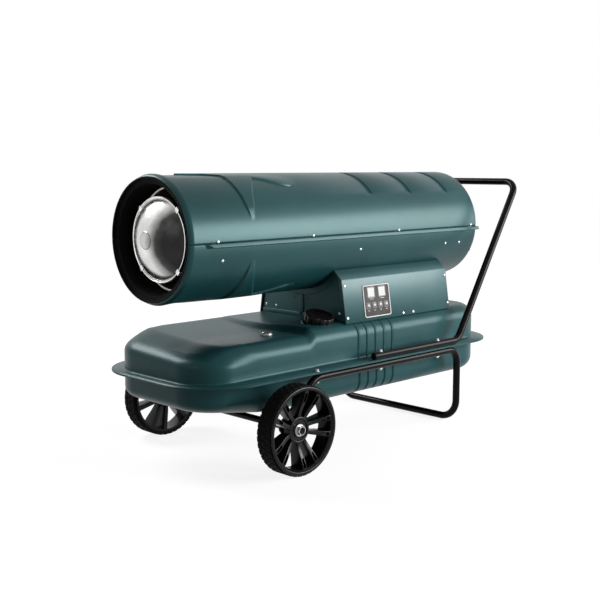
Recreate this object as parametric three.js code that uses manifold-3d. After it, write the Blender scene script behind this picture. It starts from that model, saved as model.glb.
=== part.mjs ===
// Forced-air oil heater on a two-wheeled tank, in millimetres, +Z up.
// X runs along the barrel with the hot-air mouth towards -X, and the control side faces -Y.
import * as THREE from 'three';
import { mergeVertices } from 'three/addons/utils/BufferGeometryUtils.js';
import Module from 'manifold-3d';

const wasm = await Module();
wasm.setup();

// Driving sizes. Places along X are counted from the axle until the last lines.
const wheelDiameter = 250;
const wheelWidth = 55;
const wheelFace = 333;
const axleRadius = 10;
const barrelRadius = 178;
const barrelLength = 1240;
const mouthReach = 261;
const barrelHeight = 636;
const sheet = 1.5;
const tankFlangeFront = 290;
const tankFlangeLength = 1314;
const tankFlangeHalf = 268;
const tankWallHalf = 212;
const tankWallInset = 35;
const tankFlangeHeight = 258;
const tankBottom = 150;
const tankSheet = 2;
const deckHeight = 354;
const raisedDeckHeight = 371;
const raisedDeckStart = 168;
const tubeRadius = 11.5;
const tubeWall = 2;
const railOffset = 256;
const housingFront = 313;
const housingLength = 504;
const legReach = 775;
const gripReach = 1094;
const gripHeight = 781;
const gripRun = 317;

// Clearances
const seatGap = 0.3;
const runGap = 0.4;
const overrun = 2;
const flatTolerance = 0.02;

// Facet counts
const ringSides = 20;
const midSides = 12;
const smallSides = 10;
const tubeSides = 8;
const bendSteps = 4;
const cornerSteps = 3;
const tightSteps = 1;
const shoulderSteps = 3;

// Barrel casing
const mouthRadius = 171;
const mouthBevelLength = 15.4;
const tailRoll = 12;
const tailRollSteps = 2;
const casingSteps = 16;
const seamDrop = 3.5;
const seamSlit = 0.7;
const grooveDepth = 4;
const grooveHalfWidth = 12.5;
const grooveFloorHalf = 7;
const firstGroove = 475;
const groovePitch = 188;
const grooveCount = 3;
const grooveEndAngle = 40;
const grooveFadeAngle = 4;
const facetDepth = 3;
const facetCrease = 46;
const facetWall = 5;
const creaseWall = 1.2;
const facetFadeAngle = 12;
const facetLowAngle = 18;
const facetHighAngle = 66;
const facetLowReach = 5;
const facetHighReach = 83;
const beadHeight = 12;
const beadDepth = 9;
const beadStart = 45;
const lapHeight = 14;
const hookSlotLength = 24;
const hookSlotHeight = 9;
const hookSlotAngle = 29;

// Hot end
const collarStep = 11;
const collarStepWidth = 15;
const collarLength = 70;
const collarTaper = 3;
const chamberRadius = 145;
const chamberSetback = 74;
const chamberLength = 732;
const chamberLip = 5;
const chamberConeLength = 26;
const chamberConeDrop = 40;
const throatRadius = 72;
const braceWidth = 20;
const braceThickness = 3;
const frontBraceSetback = 160;
const rearBraceSetback = 700;
const spreaderRadius = 112;
const spreaderSetback = 37;
const spreaderRise = 46;
const spreaderRings = 3;
const spreaderBadgeRadius = 24;
const spreaderBadgeRise = 1.2;
const holderRadius = 118;
const holderSeat = 8;
const holderThickness = 2;
const holderLipHeight = 5;
const holderLipWidth = 3.5;
const strutWidth = 14;
const strutThickness = 2.5;
const strutFoot = 22;
const chamberBraces = 4;
const braceAngle = 45;

// Burner
const blastTubeLength = 120;
const blastTubeInset = 40;
const blastFlangeWidth = 16;
const blastFlangeThickness = 3;
const flameDiscInset = 8;
const flameDiscHole = 14;
const flameSlots = 6;
const flameSlotWidth = 5;
const flameSlotLength = 34;
const flameSlotInset = 22;
const carrierThickness = 3;
const carrierSetback = 90;
const carrierWindowRadius = 16;
const carrierWindowPitch = 46;
const carrierWindows = 4;
const nozzleHolderRadius = 11;
const nozzleHolderLength = 84;
const nozzleRadius = 8;
const nozzleLength = 14;
const nozzleTip = 3;
const electrodeRadius = 5;
const electrodePinRadius = 1.6;
const electrodePinLength = 16;
const electrodeSpread = 15;
const electrodeRise = 20;
const electrodeLength = 62;
const pipeRadius = 3;
const pipeBend = 8;

// Fan, motor and pump
const motorRadius = 60;
const motorLength = 140;
const motorBell = 12;
const motorFront = 735;
const shaftRadius = 8;
const shaftForward = 30;
const shaftBehind = 62;
const motorBandWidth = 24;
const motorBandThickness = 3;
const motorArms = 3;
const motorArmAngle = 180;
const motorArmThickness = 4;
const pumpSize = 62;
const pumpLength = 56;
const pumpCoverRadius = 24;
const pumpCoverDepth = 9;
const fanGap = 18;
const fanHubRadius = 30;
const fanHubLength = 34;
const fanRadius = 155;
const fanBlades = 6;
const bladeChord = 78;
const bladeThickness = 2.5;
const bladePitch = 28;
const bladeRootShare = 0.62;
const grilleSetback = 17;
const grilleWire = 3;
const grilleRimWidth = 8;
const grilleRings = 3;
const grilleSpokes = 6;
const grilleHubRadius = 22;

// Housing under the barrel
const housingFoot = 191;
const housingShoulder = 171;
const housingShoulderRise = 126;
const housingSlope = 27;
const housingSlopeRise = 25;
const panelInset = 3;
const saddleBand = 18;
const saddleGroove = 2;
const saddleGrooveDepth = 0.8;
const panelRibWidth = 18;
const panelRibRise = 3;
const panelFlange = 12;
const panelFlangeMargin = 16;
const panelSlotWidth = 5;
const panelSlotHeight = 10;
const panelSlotPitch = 58;
const panelSlotDrop = 11;
const coverLip = 12;
const plateLength = 123;
const plateHeight = 100;
const plateCorner = 8;
const plateThickness = 1.2;
const plateStart = 86;
const plateDrop = 23;
const windowLength = 33;
const windowHeight = 39;
const windowPitch = 50;
const windowTop = 5;
const windowProud = 0.3;
const buttons = 4;
const buttonRadius = 5;
const buttonPitch = 27.3;
const buttonDrop = 63;
const buttonProud = 2;
const buttonTravel = 0.8;
const boardThickness = 1.6;
const boardDepth = 14;
const boardMargin = 14;
const boardPost = 4;
const switchSize = 8;
const switchHeight = 4;
const transformerLength = 110;
const transformerDepth = 60;
const transformerHeight = 72;
const transformerSetback = 300;
const bushingInset = 28;
const bushingRadius = 9;
const bushingHeight = 20;
const inletRadius = 12;
const inletDepth = 18;
const inletFlange = 16;
const inletFlangeThickness = 3;
const inletRise = 40;
const inletOffset = 120;
const floorMargin = 30;

// Tank
const tankWallCorner = 115;
const tankFlangeCorner = 175;
const tankShoulder = 44;
const raisedBulge = 3;
const pleats = 5;
const pleatStart = 350;
const pleatPitch = 38.5;
const pleatRadius = 6;
const pleatDepth = 4;
const neckSetback = 87;
const neckOffset = 131;
const neckTilt = 18;
const neckRadius = 33;
const neckHeight = 15;
const neckBore = 29;
const neckDepth = 22;
const bossRadius = 50;
const bossDepth = 60;
const neckFlangeRadius = 38;
const neckFlange = 2;
const capRadius = 45;
const capHeight = 26;
const capLobes = 12;
const capLobeDip = 3;
const capCrown = 5;
const capWall = 4;
const capStud = 6;
const capBase = 2.6;
const capSealRadius = 32;
const capSeal = 3;
const coreRadius = 27;
const coreDepth = 16;
const gaugeForward = 68;
const gaugeOffset = 107;
const gaugeRadius = 18;
const gaugeHeight = 7;
const gaugeLip = 3;
const gaugeDialDepth = 2.2;
const lensThickness = 2;
const needleLength = 12;
const needleWidth = 2.4;
const needleThickness = 1;
const spindleRadius = 1.5;
const gaugeStemRadius = 8;
const gaugeStemDepth = 34;
const pivotDrop = 8;
const pivotPin = 2;
const pivotEye = 5;
const pivotEyeWidth = 6;
const pivotEar = 3;
const floatArmLength = 120;
const floatArmRadius = 2.5;
const floatRadius = 20;
const floatWidth = 50;
const floatDroop = 50;
const drainForward = -185;
const drainRadius = 9;
const drainShank = 8;
const drainHead = 6;
const drainThread = 6;
const drainOffset = 60;
const suctionRadius = 5;
const suctionBore = 3;
const filterRadius = 14;
const filterHeight = 26;
const pumpPlace = 20;

// Running gear
const legBend = 46;
const gripBend = 46;
const frontBend = 60;
const frontDropReach = 118;
const railEndReach = 26;
const railEndHeight = 158;
const handleStart = 350;
const plugLength = 26;
const plugHead = 4;
const bracketThickness = 8;
const bracketWidth = 44;
const bracketSocketWall = 3;
const bracketSocketLength = 26;
const axleCollar = 14;
const axleCollarLength = 9;
const hubRecess = 22;
const hubRadius = 26;
const hubFaceRadius = 37;
const rimLipRadius = 121;
const rimLipWidth = 8;
const rimLipDepth = 5;
const rimRadius = 113;
const rimWall = 6;
const spokePairs = 5;
const spokeSpread = 25.5;
const spokeRootSpread = 34;
const spokePhase = 70;
const spokeRootWidth = 11;
const spokeTipWidth = 15;
const spokeDepth = 16;
const spokeDish = 17;
const pocketDepth = 7;
const pocketMargin = 3;
const pocketStartShare = 0.6;
const pocketEndShare = 0.93;
const treadDepth = 4;
const treadRows = 2;
const treadLugs = 12;
const treadLugShare = 0.62;
const treadFootShare = 0.1;
const nutRadius = 14;
const nutHeight = 11;
const washerRadius = 17;
const washerThickness = 2;
const hexSides = 6;

// Places worked out from the sizes above
const wheelRadius = wheelDiameter / 2;
const mouth = -mouthReach;
const tail = mouth + barrelLength;
const innerBarrel = barrelRadius - sheet;
const halfStep = Math.PI / casingSteps / 2;
const casingSeat = innerBarrel * Math.cos(halfStep) - seatGap;
const seamAngle = -Math.asin(seamDrop / barrelRadius);
const flangeTop = tankFlangeHeight + tankSheet;
const flangeUnder = tankFlangeHeight - tankSheet - seatGap;
const deckSeat = raisedDeckHeight + seatGap;
const tubeFlat = Math.cos(Math.PI / tubeSides);
const tubeSeat = tubeRadius * tubeFlat;
const ringFlat = Math.cos(Math.PI / ringSides);
const midFlat = Math.cos(Math.PI / midSides);
const casingSides = casingSteps * 2;
const casingFlat = Math.cos(Math.PI / casingSides);
const smallFlat = Math.cos(Math.PI / smallSides);
const handleRailHeight = flangeTop + seatGap + tubeSeat;
const legRailHeight = flangeUnder - seatGap - tubeSeat;
const housingRear = housingFront + housingLength;

const radians = THREE.MathUtils.degToRad;
const group = new THREE.Group();
const frame = new THREE.Group();
group.add(frame);

// Finishes
const paint = new THREE.MeshStandardMaterial({ color: 0x35706f, roughness: 0.42, metalness: 0.15 });
const black = new THREE.MeshStandardMaterial({ color: 0x141414, roughness: 0.4, metalness: 0.2 });
const soot = new THREE.MeshStandardMaterial({ color: 0x171515, roughness: 0.75, metalness: 0.1 });
const stainless = new THREE.MeshStandardMaterial({ color: 0xc9c8c4, roughness: 0.28, metalness: 1 });
const zinc = new THREE.MeshStandardMaterial({ color: 0xb9bcc0, roughness: 0.35, metalness: 1 });
const brass = new THREE.MeshStandardMaterial({ color: 0xb08d4a, roughness: 0.35, metalness: 1 });
const copper = new THREE.MeshStandardMaterial({ color: 0xb0714c, roughness: 0.35, metalness: 1 });
const motorGrey = new THREE.MeshStandardMaterial({ color: 0x5d6164, roughness: 0.5, metalness: 0.6 });
const rubber = new THREE.MeshStandardMaterial({ color: 0x1b1a19, roughness: 0.85, metalness: 0 });
const plastic = new THREE.MeshStandardMaterial({ color: 0x1c1b1a, roughness: 0.5, metalness: 0 });
const legend = new THREE.MeshStandardMaterial({ color: 0x77716b, roughness: 0.5, metalness: 0 });
const pale = new THREE.MeshStandardMaterial({ color: 0xf2f2ee, roughness: 0.35, metalness: 0 });
const clear = new THREE.MeshStandardMaterial({ color: 0x9fb0b4, roughness: 0.08, metalness: 0 });
const ceramic = new THREE.MeshStandardMaterial({ color: 0xe8e2d4, roughness: 0.5, metalness: 0 });
const board = new THREE.MeshStandardMaterial({ color: 0x2f6a3a, roughness: 0.5, metalness: 0 });

// A closed geometry becomes a solid, turned right side out if its volume comes out negative.
function solid(geometry) {
  const bare = geometry.clone();
  bare.deleteAttribute('normal');
  bare.deleteAttribute('uv');
  const merged = mergeVertices(bare);
  const places = merged.getAttribute('position');
  const index = merged.getIndex().array;
  const corners = [new THREE.Vector3(), new THREE.Vector3(), new THREE.Vector3()];
  const kept = [];
  let volume = 0;
  for (let i = 0; i < index.length; i += 3) {
    const [a, b, c] = [index[i], index[i + 1], index[i + 2]];
    if (a === b || b === c || c === a) continue;
    corners.forEach((corner, k) => corner.fromBufferAttribute(places, index[i + k]));
    volume += corners[0].dot(corners[1].clone().cross(corners[2]));
    kept.push(a, b, c);
  }
  if (volume < 0) {
    for (let i = 0; i < kept.length; i += 3) [kept[i], kept[i + 1]] = [kept[i + 1], kept[i]];
  }
  return new wasm.Manifold(new wasm.Mesh({
    numProp: 3,
    vertProperties: new Float32Array(places.array),
    triVerts: new Uint32Array(kept),
  }));
}

function geometryOf(body) {
  const mesh = body.asOriginal().simplify(flatTolerance).getMesh();
  const geometry = new THREE.BufferGeometry();
  geometry.setAttribute('position', new THREE.BufferAttribute(mesh.vertProperties, mesh.numProp));
  geometry.setIndex(new THREE.BufferAttribute(mesh.triVerts, 1));
  geometry.computeVertexNormals();
  return geometry;
}

function join(first, ...others) {
  return others.reduce((body, other) => body.add(other), first);
}

function cut(first, ...others) {
  return others.reduce((body, other) => body.subtract(other), first);
}

// Adds a named piece to the model.
function piece(name, body, finish) {
  const mesh = new THREE.Mesh(geometryOf(body), finish);
  mesh.name = name;
  frame.add(mesh);
  return mesh;
}

function block(from, to) {
  const geometry = new THREE.BoxGeometry(to[0] - from[0], to[1] - from[1], to[2] - from[2]);
  geometry.translate((to[0] + from[0]) / 2, (to[1] + from[1]) / 2, (to[2] + from[2]) / 2);
  return solid(geometry);
}

// Round bars along each axis, from one place to another.
function barZ(radius, bottom, top, x, y, sides = smallSides) {
  const geometry = new THREE.CylinderGeometry(radius, radius, top - bottom, sides);
  geometry.rotateX(Math.PI / 2);
  geometry.translate(x, y, (bottom + top) / 2);
  return solid(geometry);
}

function barX(radius, from, to, y, z, sides = smallSides) {
  const geometry = new THREE.CylinderGeometry(radius, radius, to - from, sides);
  geometry.rotateZ(Math.PI / 2);
  geometry.translate((from + to) / 2, y, z);
  return solid(geometry);
}

function barY(radius, from, to, x, z, sides = smallSides) {
  const geometry = new THREE.CylinderGeometry(radius, radius, to - from, sides);
  geometry.translate(x, (from + to) / 2, z);
  return solid(geometry);
}

// Turned pieces. A profile is a list of [place along the axis, radius] and closes on itself.
function turned(profile, sides) {
  const points = profile.map(([along, radius]) => new THREE.Vector2(radius, along));
  if (profile[0][1] !== 0) points.push(points[0].clone());
  return new THREE.LatheGeometry(points, sides);
}

function turnX(profile, y, z, sides = ringSides) {
  const geometry = turned(profile, sides);
  geometry.rotateZ(-Math.PI / 2);
  geometry.translate(0, y, z);
  return solid(geometry);
}

function turnY(profile, x, z, sides = ringSides) {
  const geometry = turned(profile, sides);
  geometry.translate(x, 0, z);
  return solid(geometry);
}

function turnZ(profile, x, y, sides = ringSides) {
  const geometry = turned(profile, sides);
  geometry.rotateX(Math.PI / 2);
  geometry.translate(x, y, 0);
  return solid(geometry);
}

function shapeOf(points) {
  return new THREE.Shape(points.map(([u, v]) => new THREE.Vector2(u, v)));
}

// A flat outline in Y and Z, given thickness along X.
function plateX(shape, from, to) {
  const geometry = new THREE.ExtrudeGeometry(shape, { depth: to - from, bevelEnabled: false });
  geometry.rotateY(Math.PI / 2);
  geometry.rotateX(Math.PI / 2);
  geometry.translate(from, 0, 0);
  return solid(geometry);
}

// A flat outline in X and Z, given thickness along Y.
function plateY(shape, from, to) {
  const geometry = new THREE.ExtrudeGeometry(shape, { depth: to - from, bevelEnabled: false });
  geometry.rotateX(Math.PI / 2);
  geometry.translate(0, to, 0);
  return solid(geometry);
}

function plateZ(shape, from, to) {
  const geometry = new THREE.ExtrudeGeometry(shape, {
    depth: to - from, bevelEnabled: false, curveSegments: cornerSteps,
  });
  geometry.translate(0, 0, from);
  return solid(geometry);
}

// A rectangle with round corners, from its two ends and its half width.
function roundedPlan(front, rear, half, frontCorner, rearCorner) {
  const shape = new THREE.Shape();
  shape.absarc(front + frontCorner, -half + frontCorner, frontCorner, Math.PI, Math.PI * 1.5);
  shape.absarc(rear - rearCorner, -half + rearCorner, rearCorner, Math.PI * 1.5, Math.PI * 2);
  shape.absarc(rear - rearCorner, half - rearCorner, rearCorner, 0, Math.PI / 2);
  shape.absarc(front + frontCorner, half - frontCorner, frontCorner, Math.PI / 2, Math.PI);
  shape.closePath();
  return shape;
}

// A path of straight runs and round bends through corner points. Its stations are the ends of the runs
// and a few places on each bend, so that straight tube costs no extra facets.
class BentPath extends THREE.Curve {
  constructor(corners, bendRadii) {
    super();
    this.stations = [];
    corners.forEach((corner, k) => this.addCorner(corners, k, corner, bendRadii[k]));
  }

  addCorner(corners, k, corner, bendRadius) {
    const before = corners[k - 1];
    const after = corners[k + 1];
    if (!before || !after) {
      const run = before ? corner.clone().sub(before) : after.clone().sub(corner);
      this.stations.push({ point: corner, along: run.normalize() });
      return;
    }
    const into = corner.clone().sub(before).normalize();
    const out = after.clone().sub(corner).normalize();
    const turn = into.angleTo(out);
    const normal = out.clone().sub(into).normalize();
    const centre = corner.clone().addScaledVector(normal, bendRadius / Math.cos(turn / 2));
    const across = into.clone().cross(out).normalize();
    const start = corner.clone().addScaledVector(into, -bendRadius * Math.tan(turn / 2)).sub(centre);
    for (let i = 0; i <= bendSteps; i += 1) {
      const angle = turn * i / bendSteps;
      this.stations.push({
        point: start.clone().applyAxisAngle(across, angle).add(centre),
        along: into.clone().applyAxisAngle(across, angle),
      });
    }
  }

  station(share) {
    return this.stations[Math.round(share * (this.stations.length - 1))];
  }

  getPointAt(share) {
    return this.station(share).point.clone();
  }

  getTangentAt(share) {
    return this.station(share).along.clone();
  }
}

function circleShape(radius, sides, boreRadius = 0) {
  const turnOffset = Math.PI / sides;
  const round = (r) => Array.from({ length: sides }, (_, k) => {
    const angle = turnOffset + 2 * Math.PI * k / sides;
    return new THREE.Vector2(r * Math.cos(angle), r * Math.sin(angle));
  });
  const shape = new THREE.Shape(round(radius));
  if (boreRadius > 0) shape.holes.push(new THREE.Path(round(boreRadius)));
  return shape;
}

function bentTube(path, radius, sides, boreRadius = 0) {
  const steps = path.stations.length - 1;
  const shape = circleShape(radius, sides, boreRadius);
  return solid(new THREE.ExtrudeGeometry(shape, { steps, extrudePath: path, bevelEnabled: false }));
}

// A copy of a solid, moved by a three.js matrix.
function placed(geometry, matrix) {
  return solid(geometry.clone().applyMatrix4(matrix));
}

function aroundBarrel(geometry, angle) {
  const matrix = new THREE.Matrix4().makeRotationX(angle);
  matrix.premultiply(new THREE.Matrix4().makeTranslation(0, 0, barrelHeight));
  return placed(geometry, matrix);
}

// An open line of [u, v] points moved sideways by a distance, with its corners mitred.
function offsetLine(line, distance) {
  const normals = line.slice(1).map(([u, v], k) => {
    const run = new THREE.Vector2(u - line[k][0], v - line[k][1]).normalize();
    return new THREE.Vector2(run.y, -run.x);
  });
  return line.map(([u, v], k) => {
    const before = normals[Math.max(k - 1, 0)];
    const after = normals[Math.min(k, normals.length - 1)];
    const across = before.clone().add(after).normalize();
    const reach = distance / across.dot(before);
    return [u + across.x * reach, v + across.y * reach];
  });
}

// A folded sheet: the outline between a line and the same line moved by the sheet's thickness.
function foldedSheet(line, thickness) {
  return shapeOf([...line, ...offsetLine(line, thickness).reverse()]);
}

const mirrored = (line) => line.map(([u, v]) => [-u, v]);

function fade(value, start, width) {
  return THREE.MathUtils.clamp((value - start) / width, 0, 1);
}

// Angles on the barrel count from the -Y side upwards. Elevation is the same from either side.
function elevation(angle) {
  const degrees = THREE.MathUtils.radToDeg(Math.abs(angle));
  return degrees > 90 ? 180 - degrees : degrees;
}

function plainRadius(x) {
  const bevel = fade(x, mouth, mouthBevelLength);
  const roll = fade(x, tail - tailRoll, tailRoll);
  const front = mouthRadius + (barrelRadius - mouthRadius) * bevel;
  return front - tailRoll * (1 - Math.sqrt(1 - roll * roll));
}

const plainColumn = (x) => ({ at: () => x, drop: () => 0 });

// The front pressing: a step down at the crease, and a slanting wall back up to the surface.
function facetColumns() {
  const crease = -facetCrease;
  const drop = (angle) => facetDepth * fade(elevation(angle), facetLowAngle, facetFadeAngle);
  const slant = (angle) => {
    const share = fade(elevation(angle), facetLowAngle, facetHighAngle - facetLowAngle);
    return crease + facetLowReach + (facetHighReach - facetLowReach) * share;
  };
  const floorEnd = (angle) => Math.max(slant(angle) - facetWall, crease + creaseWall * 2);
  return [
    plainColumn(crease),
    { at: () => crease + creaseWall, drop },
    { at: floorEnd, drop },
    { at: (angle) => Math.max(slant(angle), floorEnd(angle) + creaseWall), drop: () => 0 },
  ];
}

function grooveColumns(centre) {
  const start = grooveEndAngle - grooveFadeAngle / 2;
  const drop = (angle) => grooveDepth * fade(elevation(angle), start, grooveFadeAngle);
  return [
    plainColumn(centre - grooveHalfWidth),
    { at: () => centre - grooveFloorHalf, drop },
    { at: () => centre + grooveFloorHalf, drop },
    plainColumn(centre + grooveHalfWidth),
  ];
}

function tailColumns() {
  return Array.from({ length: tailRollSteps + 1 }, (_, k) => (
    plainColumn(tail - tailRoll + tailRoll * Math.sin(Math.PI / 2 * k / tailRollSteps))
  ));
}

// A pressed sheet wrapped round the barrel: an outer and an inner face, and the four rims between them.
function pressedShell(columns, angles) {
  const rows = angles.length;
  const places = [];
  const index = [];
  for (const depth of [0, sheet]) {
    for (const column of columns) {
      for (const angle of angles) {
        const x = column.at(angle);
        const radius = plainRadius(x) - column.drop(angle) - depth;
        places.push(x, -radius * Math.cos(angle), barrelHeight + radius * Math.sin(angle));
      }
    }
  }
  const at = (side, i, j) => (side * columns.length + i) * rows + j;
  const quad = (a, b, c, d) => index.push(a, b, c, a, c, d);
  const lastColumn = columns.length - 1;
  const lastRow = rows - 1;
  for (let i = 0; i < lastColumn; i += 1) {
    for (let j = 0; j < lastRow; j += 1) {
      quad(at(0, i, j), at(0, i + 1, j), at(0, i + 1, j + 1), at(0, i, j + 1));
      quad(at(1, i, j), at(1, i, j + 1), at(1, i + 1, j + 1), at(1, i + 1, j));
    }
    quad(at(0, i, 0), at(1, i, 0), at(1, i + 1, 0), at(0, i + 1, 0));
    quad(at(0, i, lastRow), at(0, i + 1, lastRow), at(1, i + 1, lastRow), at(1, i, lastRow));
  }
  for (let j = 0; j < lastRow; j += 1) {
    quad(at(0, 0, j), at(0, 0, j + 1), at(1, 0, j + 1), at(1, 0, j));
    quad(at(0, lastColumn, j), at(1, lastColumn, j), at(1, lastColumn, j + 1), at(0, lastColumn, j + 1));
  }
  const geometry = new THREE.BufferGeometry();
  geometry.setAttribute('position', new THREE.Float32BufferAttribute(places, 3));
  geometry.setIndex(index);
  return solid(geometry);
}

function casingAngles(from, to) {
  return Array.from({ length: casingSteps + 1 }, (_, j) => from + (to - from) * j / casingSteps);
}

const mouthColumns = [plainColumn(mouth), plainColumn(mouth + mouthBevelLength)];

function casingUpper() {
  const grooves = Array.from({ length: grooveCount }, (_, k) => grooveColumns(firstGroove + groovePitch * k));
  const columns = [...mouthColumns, ...facetColumns(), ...grooves.flat(), ...tailColumns()];
  return pressedShell(columns, casingAngles(seamAngle, Math.PI - seamAngle));
}

// The lower casing carries the folded bead below the seam and a lap strip behind it, on both sides.
function casingLower() {
  const edge = seamAngle - seamSlit / barrelRadius;
  const columns = [...mouthColumns, ...facetColumns(), ...tailColumns()];
  const shell = pressedShell(columns, casingAngles(edge, -Math.PI - edge));
  const top = barrelHeight + barrelRadius * Math.sin(edge);
  const root = innerBarrel + sheet / 2;
  const bead = [
    [-root, top - sheet / 2],
    [-barrelRadius - beadDepth, top - beadHeight / 2],
    [-root, top - beadHeight],
  ];
  const lapFace = innerBarrel * Math.cos(halfStep * 2) - seatGap;
  const lap = [
    [-lapFace + sheet, top - lapHeight],
    [-root, top - lapHeight],
    [-root, top - sheet / 2],
    [-lapFace, top - sheet / 2],
    [-lapFace, top + lapHeight],
    [-lapFace + sheet, top + lapHeight],
  ];
  const lapStart = mouth + frontBraceSetback;
  const lapEnd = tail - beadStart;
  const strips = [1, -1].flatMap((side) => {
    const line = side > 0 ? bead : mirrored(bead);
    const fold = side > 0 ? -sheet : sheet;
    return [
      plateX(foldedSheet(line, fold), mouth + beadStart, tail),
      plateX(shapeOf(side > 0 ? lap : mirrored(lap)), lapStart, lapEnd),
    ];
  });
  const slot = new THREE.BoxGeometry(hookSlotLength * 2, hookSlotHeight, barrelRadius);
  slot.translate(tail, 0, barrelRadius);
  const hookSlot = aroundBarrel(slot, Math.PI / 2 + radians(hookSlotAngle));
  const pipe = barZ(suctionRadius + runGap, barrelHeight - barrelRadius - overrun,
    barrelHeight - innerBarrel + overrun + sheet, pumpMiddle, 0);
  return cut(join(shell, ...strips), hookSlot, pipe);
}

// The black mouth ring: a rim inside the casing, a flat step, and a sleeve running back to the chamber.
const collarRadius = (mouthRadius - sheet) * Math.cos(halfStep) - seatGap;
const collarBore = collarRadius - collarStepWidth;

function outletCollar() {
  const back = mouth + collarLength;
  const stepBack = mouth + collarStep;
  return turnX([
    [mouth, collarRadius - sheet],
    [mouth, collarRadius],
    [stepBack, collarRadius],
    [stepBack, collarBore],
    [back, collarBore - collarTaper],
    [back, collarBore - collarTaper - sheet],
    [stepBack - sheet, collarBore - sheet],
    [stepBack - sheet, collarRadius - sheet],
  ], 0, barrelHeight, casingSides);
}

const chamberFront = mouth + chamberSetback;
const chamberRear = chamberFront + chamberLength;

function combustionChamber() {
  return turnX([
    [chamberFront, chamberRadius],
    [chamberRear - chamberConeLength, chamberRadius],
    [chamberRear, chamberRadius - chamberConeDrop],
    [chamberRear, throatRadius / ringFlat],
    [chamberRear - sheet, throatRadius / ringFlat],
    [chamberRear - sheet, chamberRadius - chamberConeDrop - sheet],
    [chamberRear - chamberConeLength - sheet, chamberRadius - sheet],
    [chamberFront + sheet, chamberRadius - sheet],
    [chamberFront + sheet, chamberRadius - chamberLip],
    [chamberFront, chamberRadius - chamberLip],
  ], 0, barrelHeight);
}

// A band round an inner piece with legs that reach the casing.
function bandWithLegs(start, width, bore, thickness, legs, legAngle, legThickness) {
  const band = turnX([
    [start, bore],
    [start + width, bore],
    [start + width, bore + thickness],
    [start, bore + thickness],
  ], 0, barrelHeight);
  const root = (bore + thickness / 2) * ringFlat;
  const arms = Array.from({ length: legs }, (_, k) => {
    const leg = new THREE.BoxGeometry(width, legThickness, casingSeat - root);
    leg.translate(start + width / 2, 0, (casingSeat + root) / 2);
    return aroundBarrel(leg, radians(legAngle) + 2 * Math.PI * k / legs);
  });
  return join(band, ...arms);
}

const spreaderPlane = chamberFront - spreaderSetback;

// The domed disc that spreads the flame, with a raised round badge left plain.
function heatSpreader() {
  const rim = spreaderPlane - seatGap - sheet;
  const sphere = (spreaderRadius ** 2 + spreaderRise ** 2) / (2 * spreaderRise);
  const front = (r) => rim - (Math.sqrt(sphere ** 2 - r ** 2) - (sphere - spreaderRise));
  const outer = [
    [front(0) - spreaderBadgeRise, 0],
    [front(spreaderBadgeRadius) - spreaderBadgeRise, spreaderBadgeRadius - spreaderBadgeRise],
  ];
  const inner = [[front(0) + sheet, 0]];
  for (let i = 0; i <= spreaderRings; i += 1) {
    const r = spreaderBadgeRadius + (spreaderRadius - spreaderBadgeRadius) * i / spreaderRings;
    outer.push([front(r), r]);
    inner.push([front(r) + sheet, r]);
  }
  return turnX([...outer, ...inner.reverse()], 0, barrelHeight);
}

// The ring that the spreader sits in, with four legs running back inside the chamber.
function spreaderHolder() {
  const seatRadius = holderRadius - holderLipWidth - holderSeat;
  const ring = turnX([
    [spreaderPlane + holderThickness, seatRadius],
    [spreaderPlane + holderThickness, holderRadius],
    [spreaderPlane - holderLipHeight, holderRadius],
    [spreaderPlane - holderLipHeight, holderRadius - holderLipWidth],
    [spreaderPlane, holderRadius - holderLipWidth],
    [spreaderPlane, seatRadius],
  ], 0, barrelHeight);
  const wall = (chamberRadius - sheet) * Math.cos(Math.PI / ringSides) - seatGap;
  const seat = Math.sqrt(wall ** 2 - (strutWidth / 2) ** 2);
  const heel = chamberFront + braceWidth / 2;
  const line = [
    [holderRadius - holderLipWidth, spreaderPlane + holderThickness / 2],
    [seat, heel],
    [seat, heel + strutFoot],
  ];
  const legs = Array.from({ length: chamberBraces }, (_, k) => {
    const outline = foldedSheet(line, -strutThickness);
    const geometry = new THREE.ExtrudeGeometry(outline, { depth: strutWidth, bevelEnabled: false });
    geometry.translate(0, 0, -strutWidth / 2);
    geometry.applyMatrix4(new THREE.Matrix4().set(0, 1, 0, 0, 0, 0, 1, 0, 1, 0, 0, 0, 0, 0, 0, 1));
    return aroundBarrel(geometry, radians(braceAngle) + 2 * Math.PI * k / chamberBraces);
  });
  return join(ring, ...legs);
}

const blastFront = chamberRear - blastTubeInset;
const blastRadius = throatRadius - seatGap;
const blastBore = blastRadius - sheet;
const carrierFront = blastFront + carrierSetback;
const carrierBore = (nozzleHolderRadius + seatGap) / midFlat;

function blastTube() {
  const flangeFront = chamberRear + seatGap;
  return turnX([
    [blastFront, blastRadius],
    [flangeFront, blastRadius],
    [flangeFront, throatRadius + blastFlangeWidth],
    [flangeFront + blastFlangeThickness, throatRadius + blastFlangeWidth],
    [flangeFront + blastFlangeThickness, blastRadius],
    [blastFront + blastTubeLength, blastRadius],
    [blastFront + blastTubeLength, blastBore],
    [blastFront, blastBore],
  ], 0, barrelHeight, midSides);
}

// A disc with a hole in the middle and slots round it that turns the air into the flame.
function flameDisc() {
  const front = blastFront + flameDiscInset;
  const disc = turnX([
    [front, flameDiscHole],
    [front + sheet, flameDiscHole],
    [front + sheet, blastBore - seatGap],
    [front, blastBore - seatGap],
  ], 0, barrelHeight, midSides);
  const slots = Array.from({ length: flameSlots }, (_, k) => {
    const slot = new THREE.BoxGeometry(sheet + overrun * 2, flameSlotWidth, flameSlotLength);
    slot.translate(front + sheet / 2, 0, flameSlotInset + flameSlotLength / 2);
    return aroundBarrel(slot, 2 * Math.PI * (k + 1 / 2) / flameSlots);
  });
  return cut(disc, ...slots);
}

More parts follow.
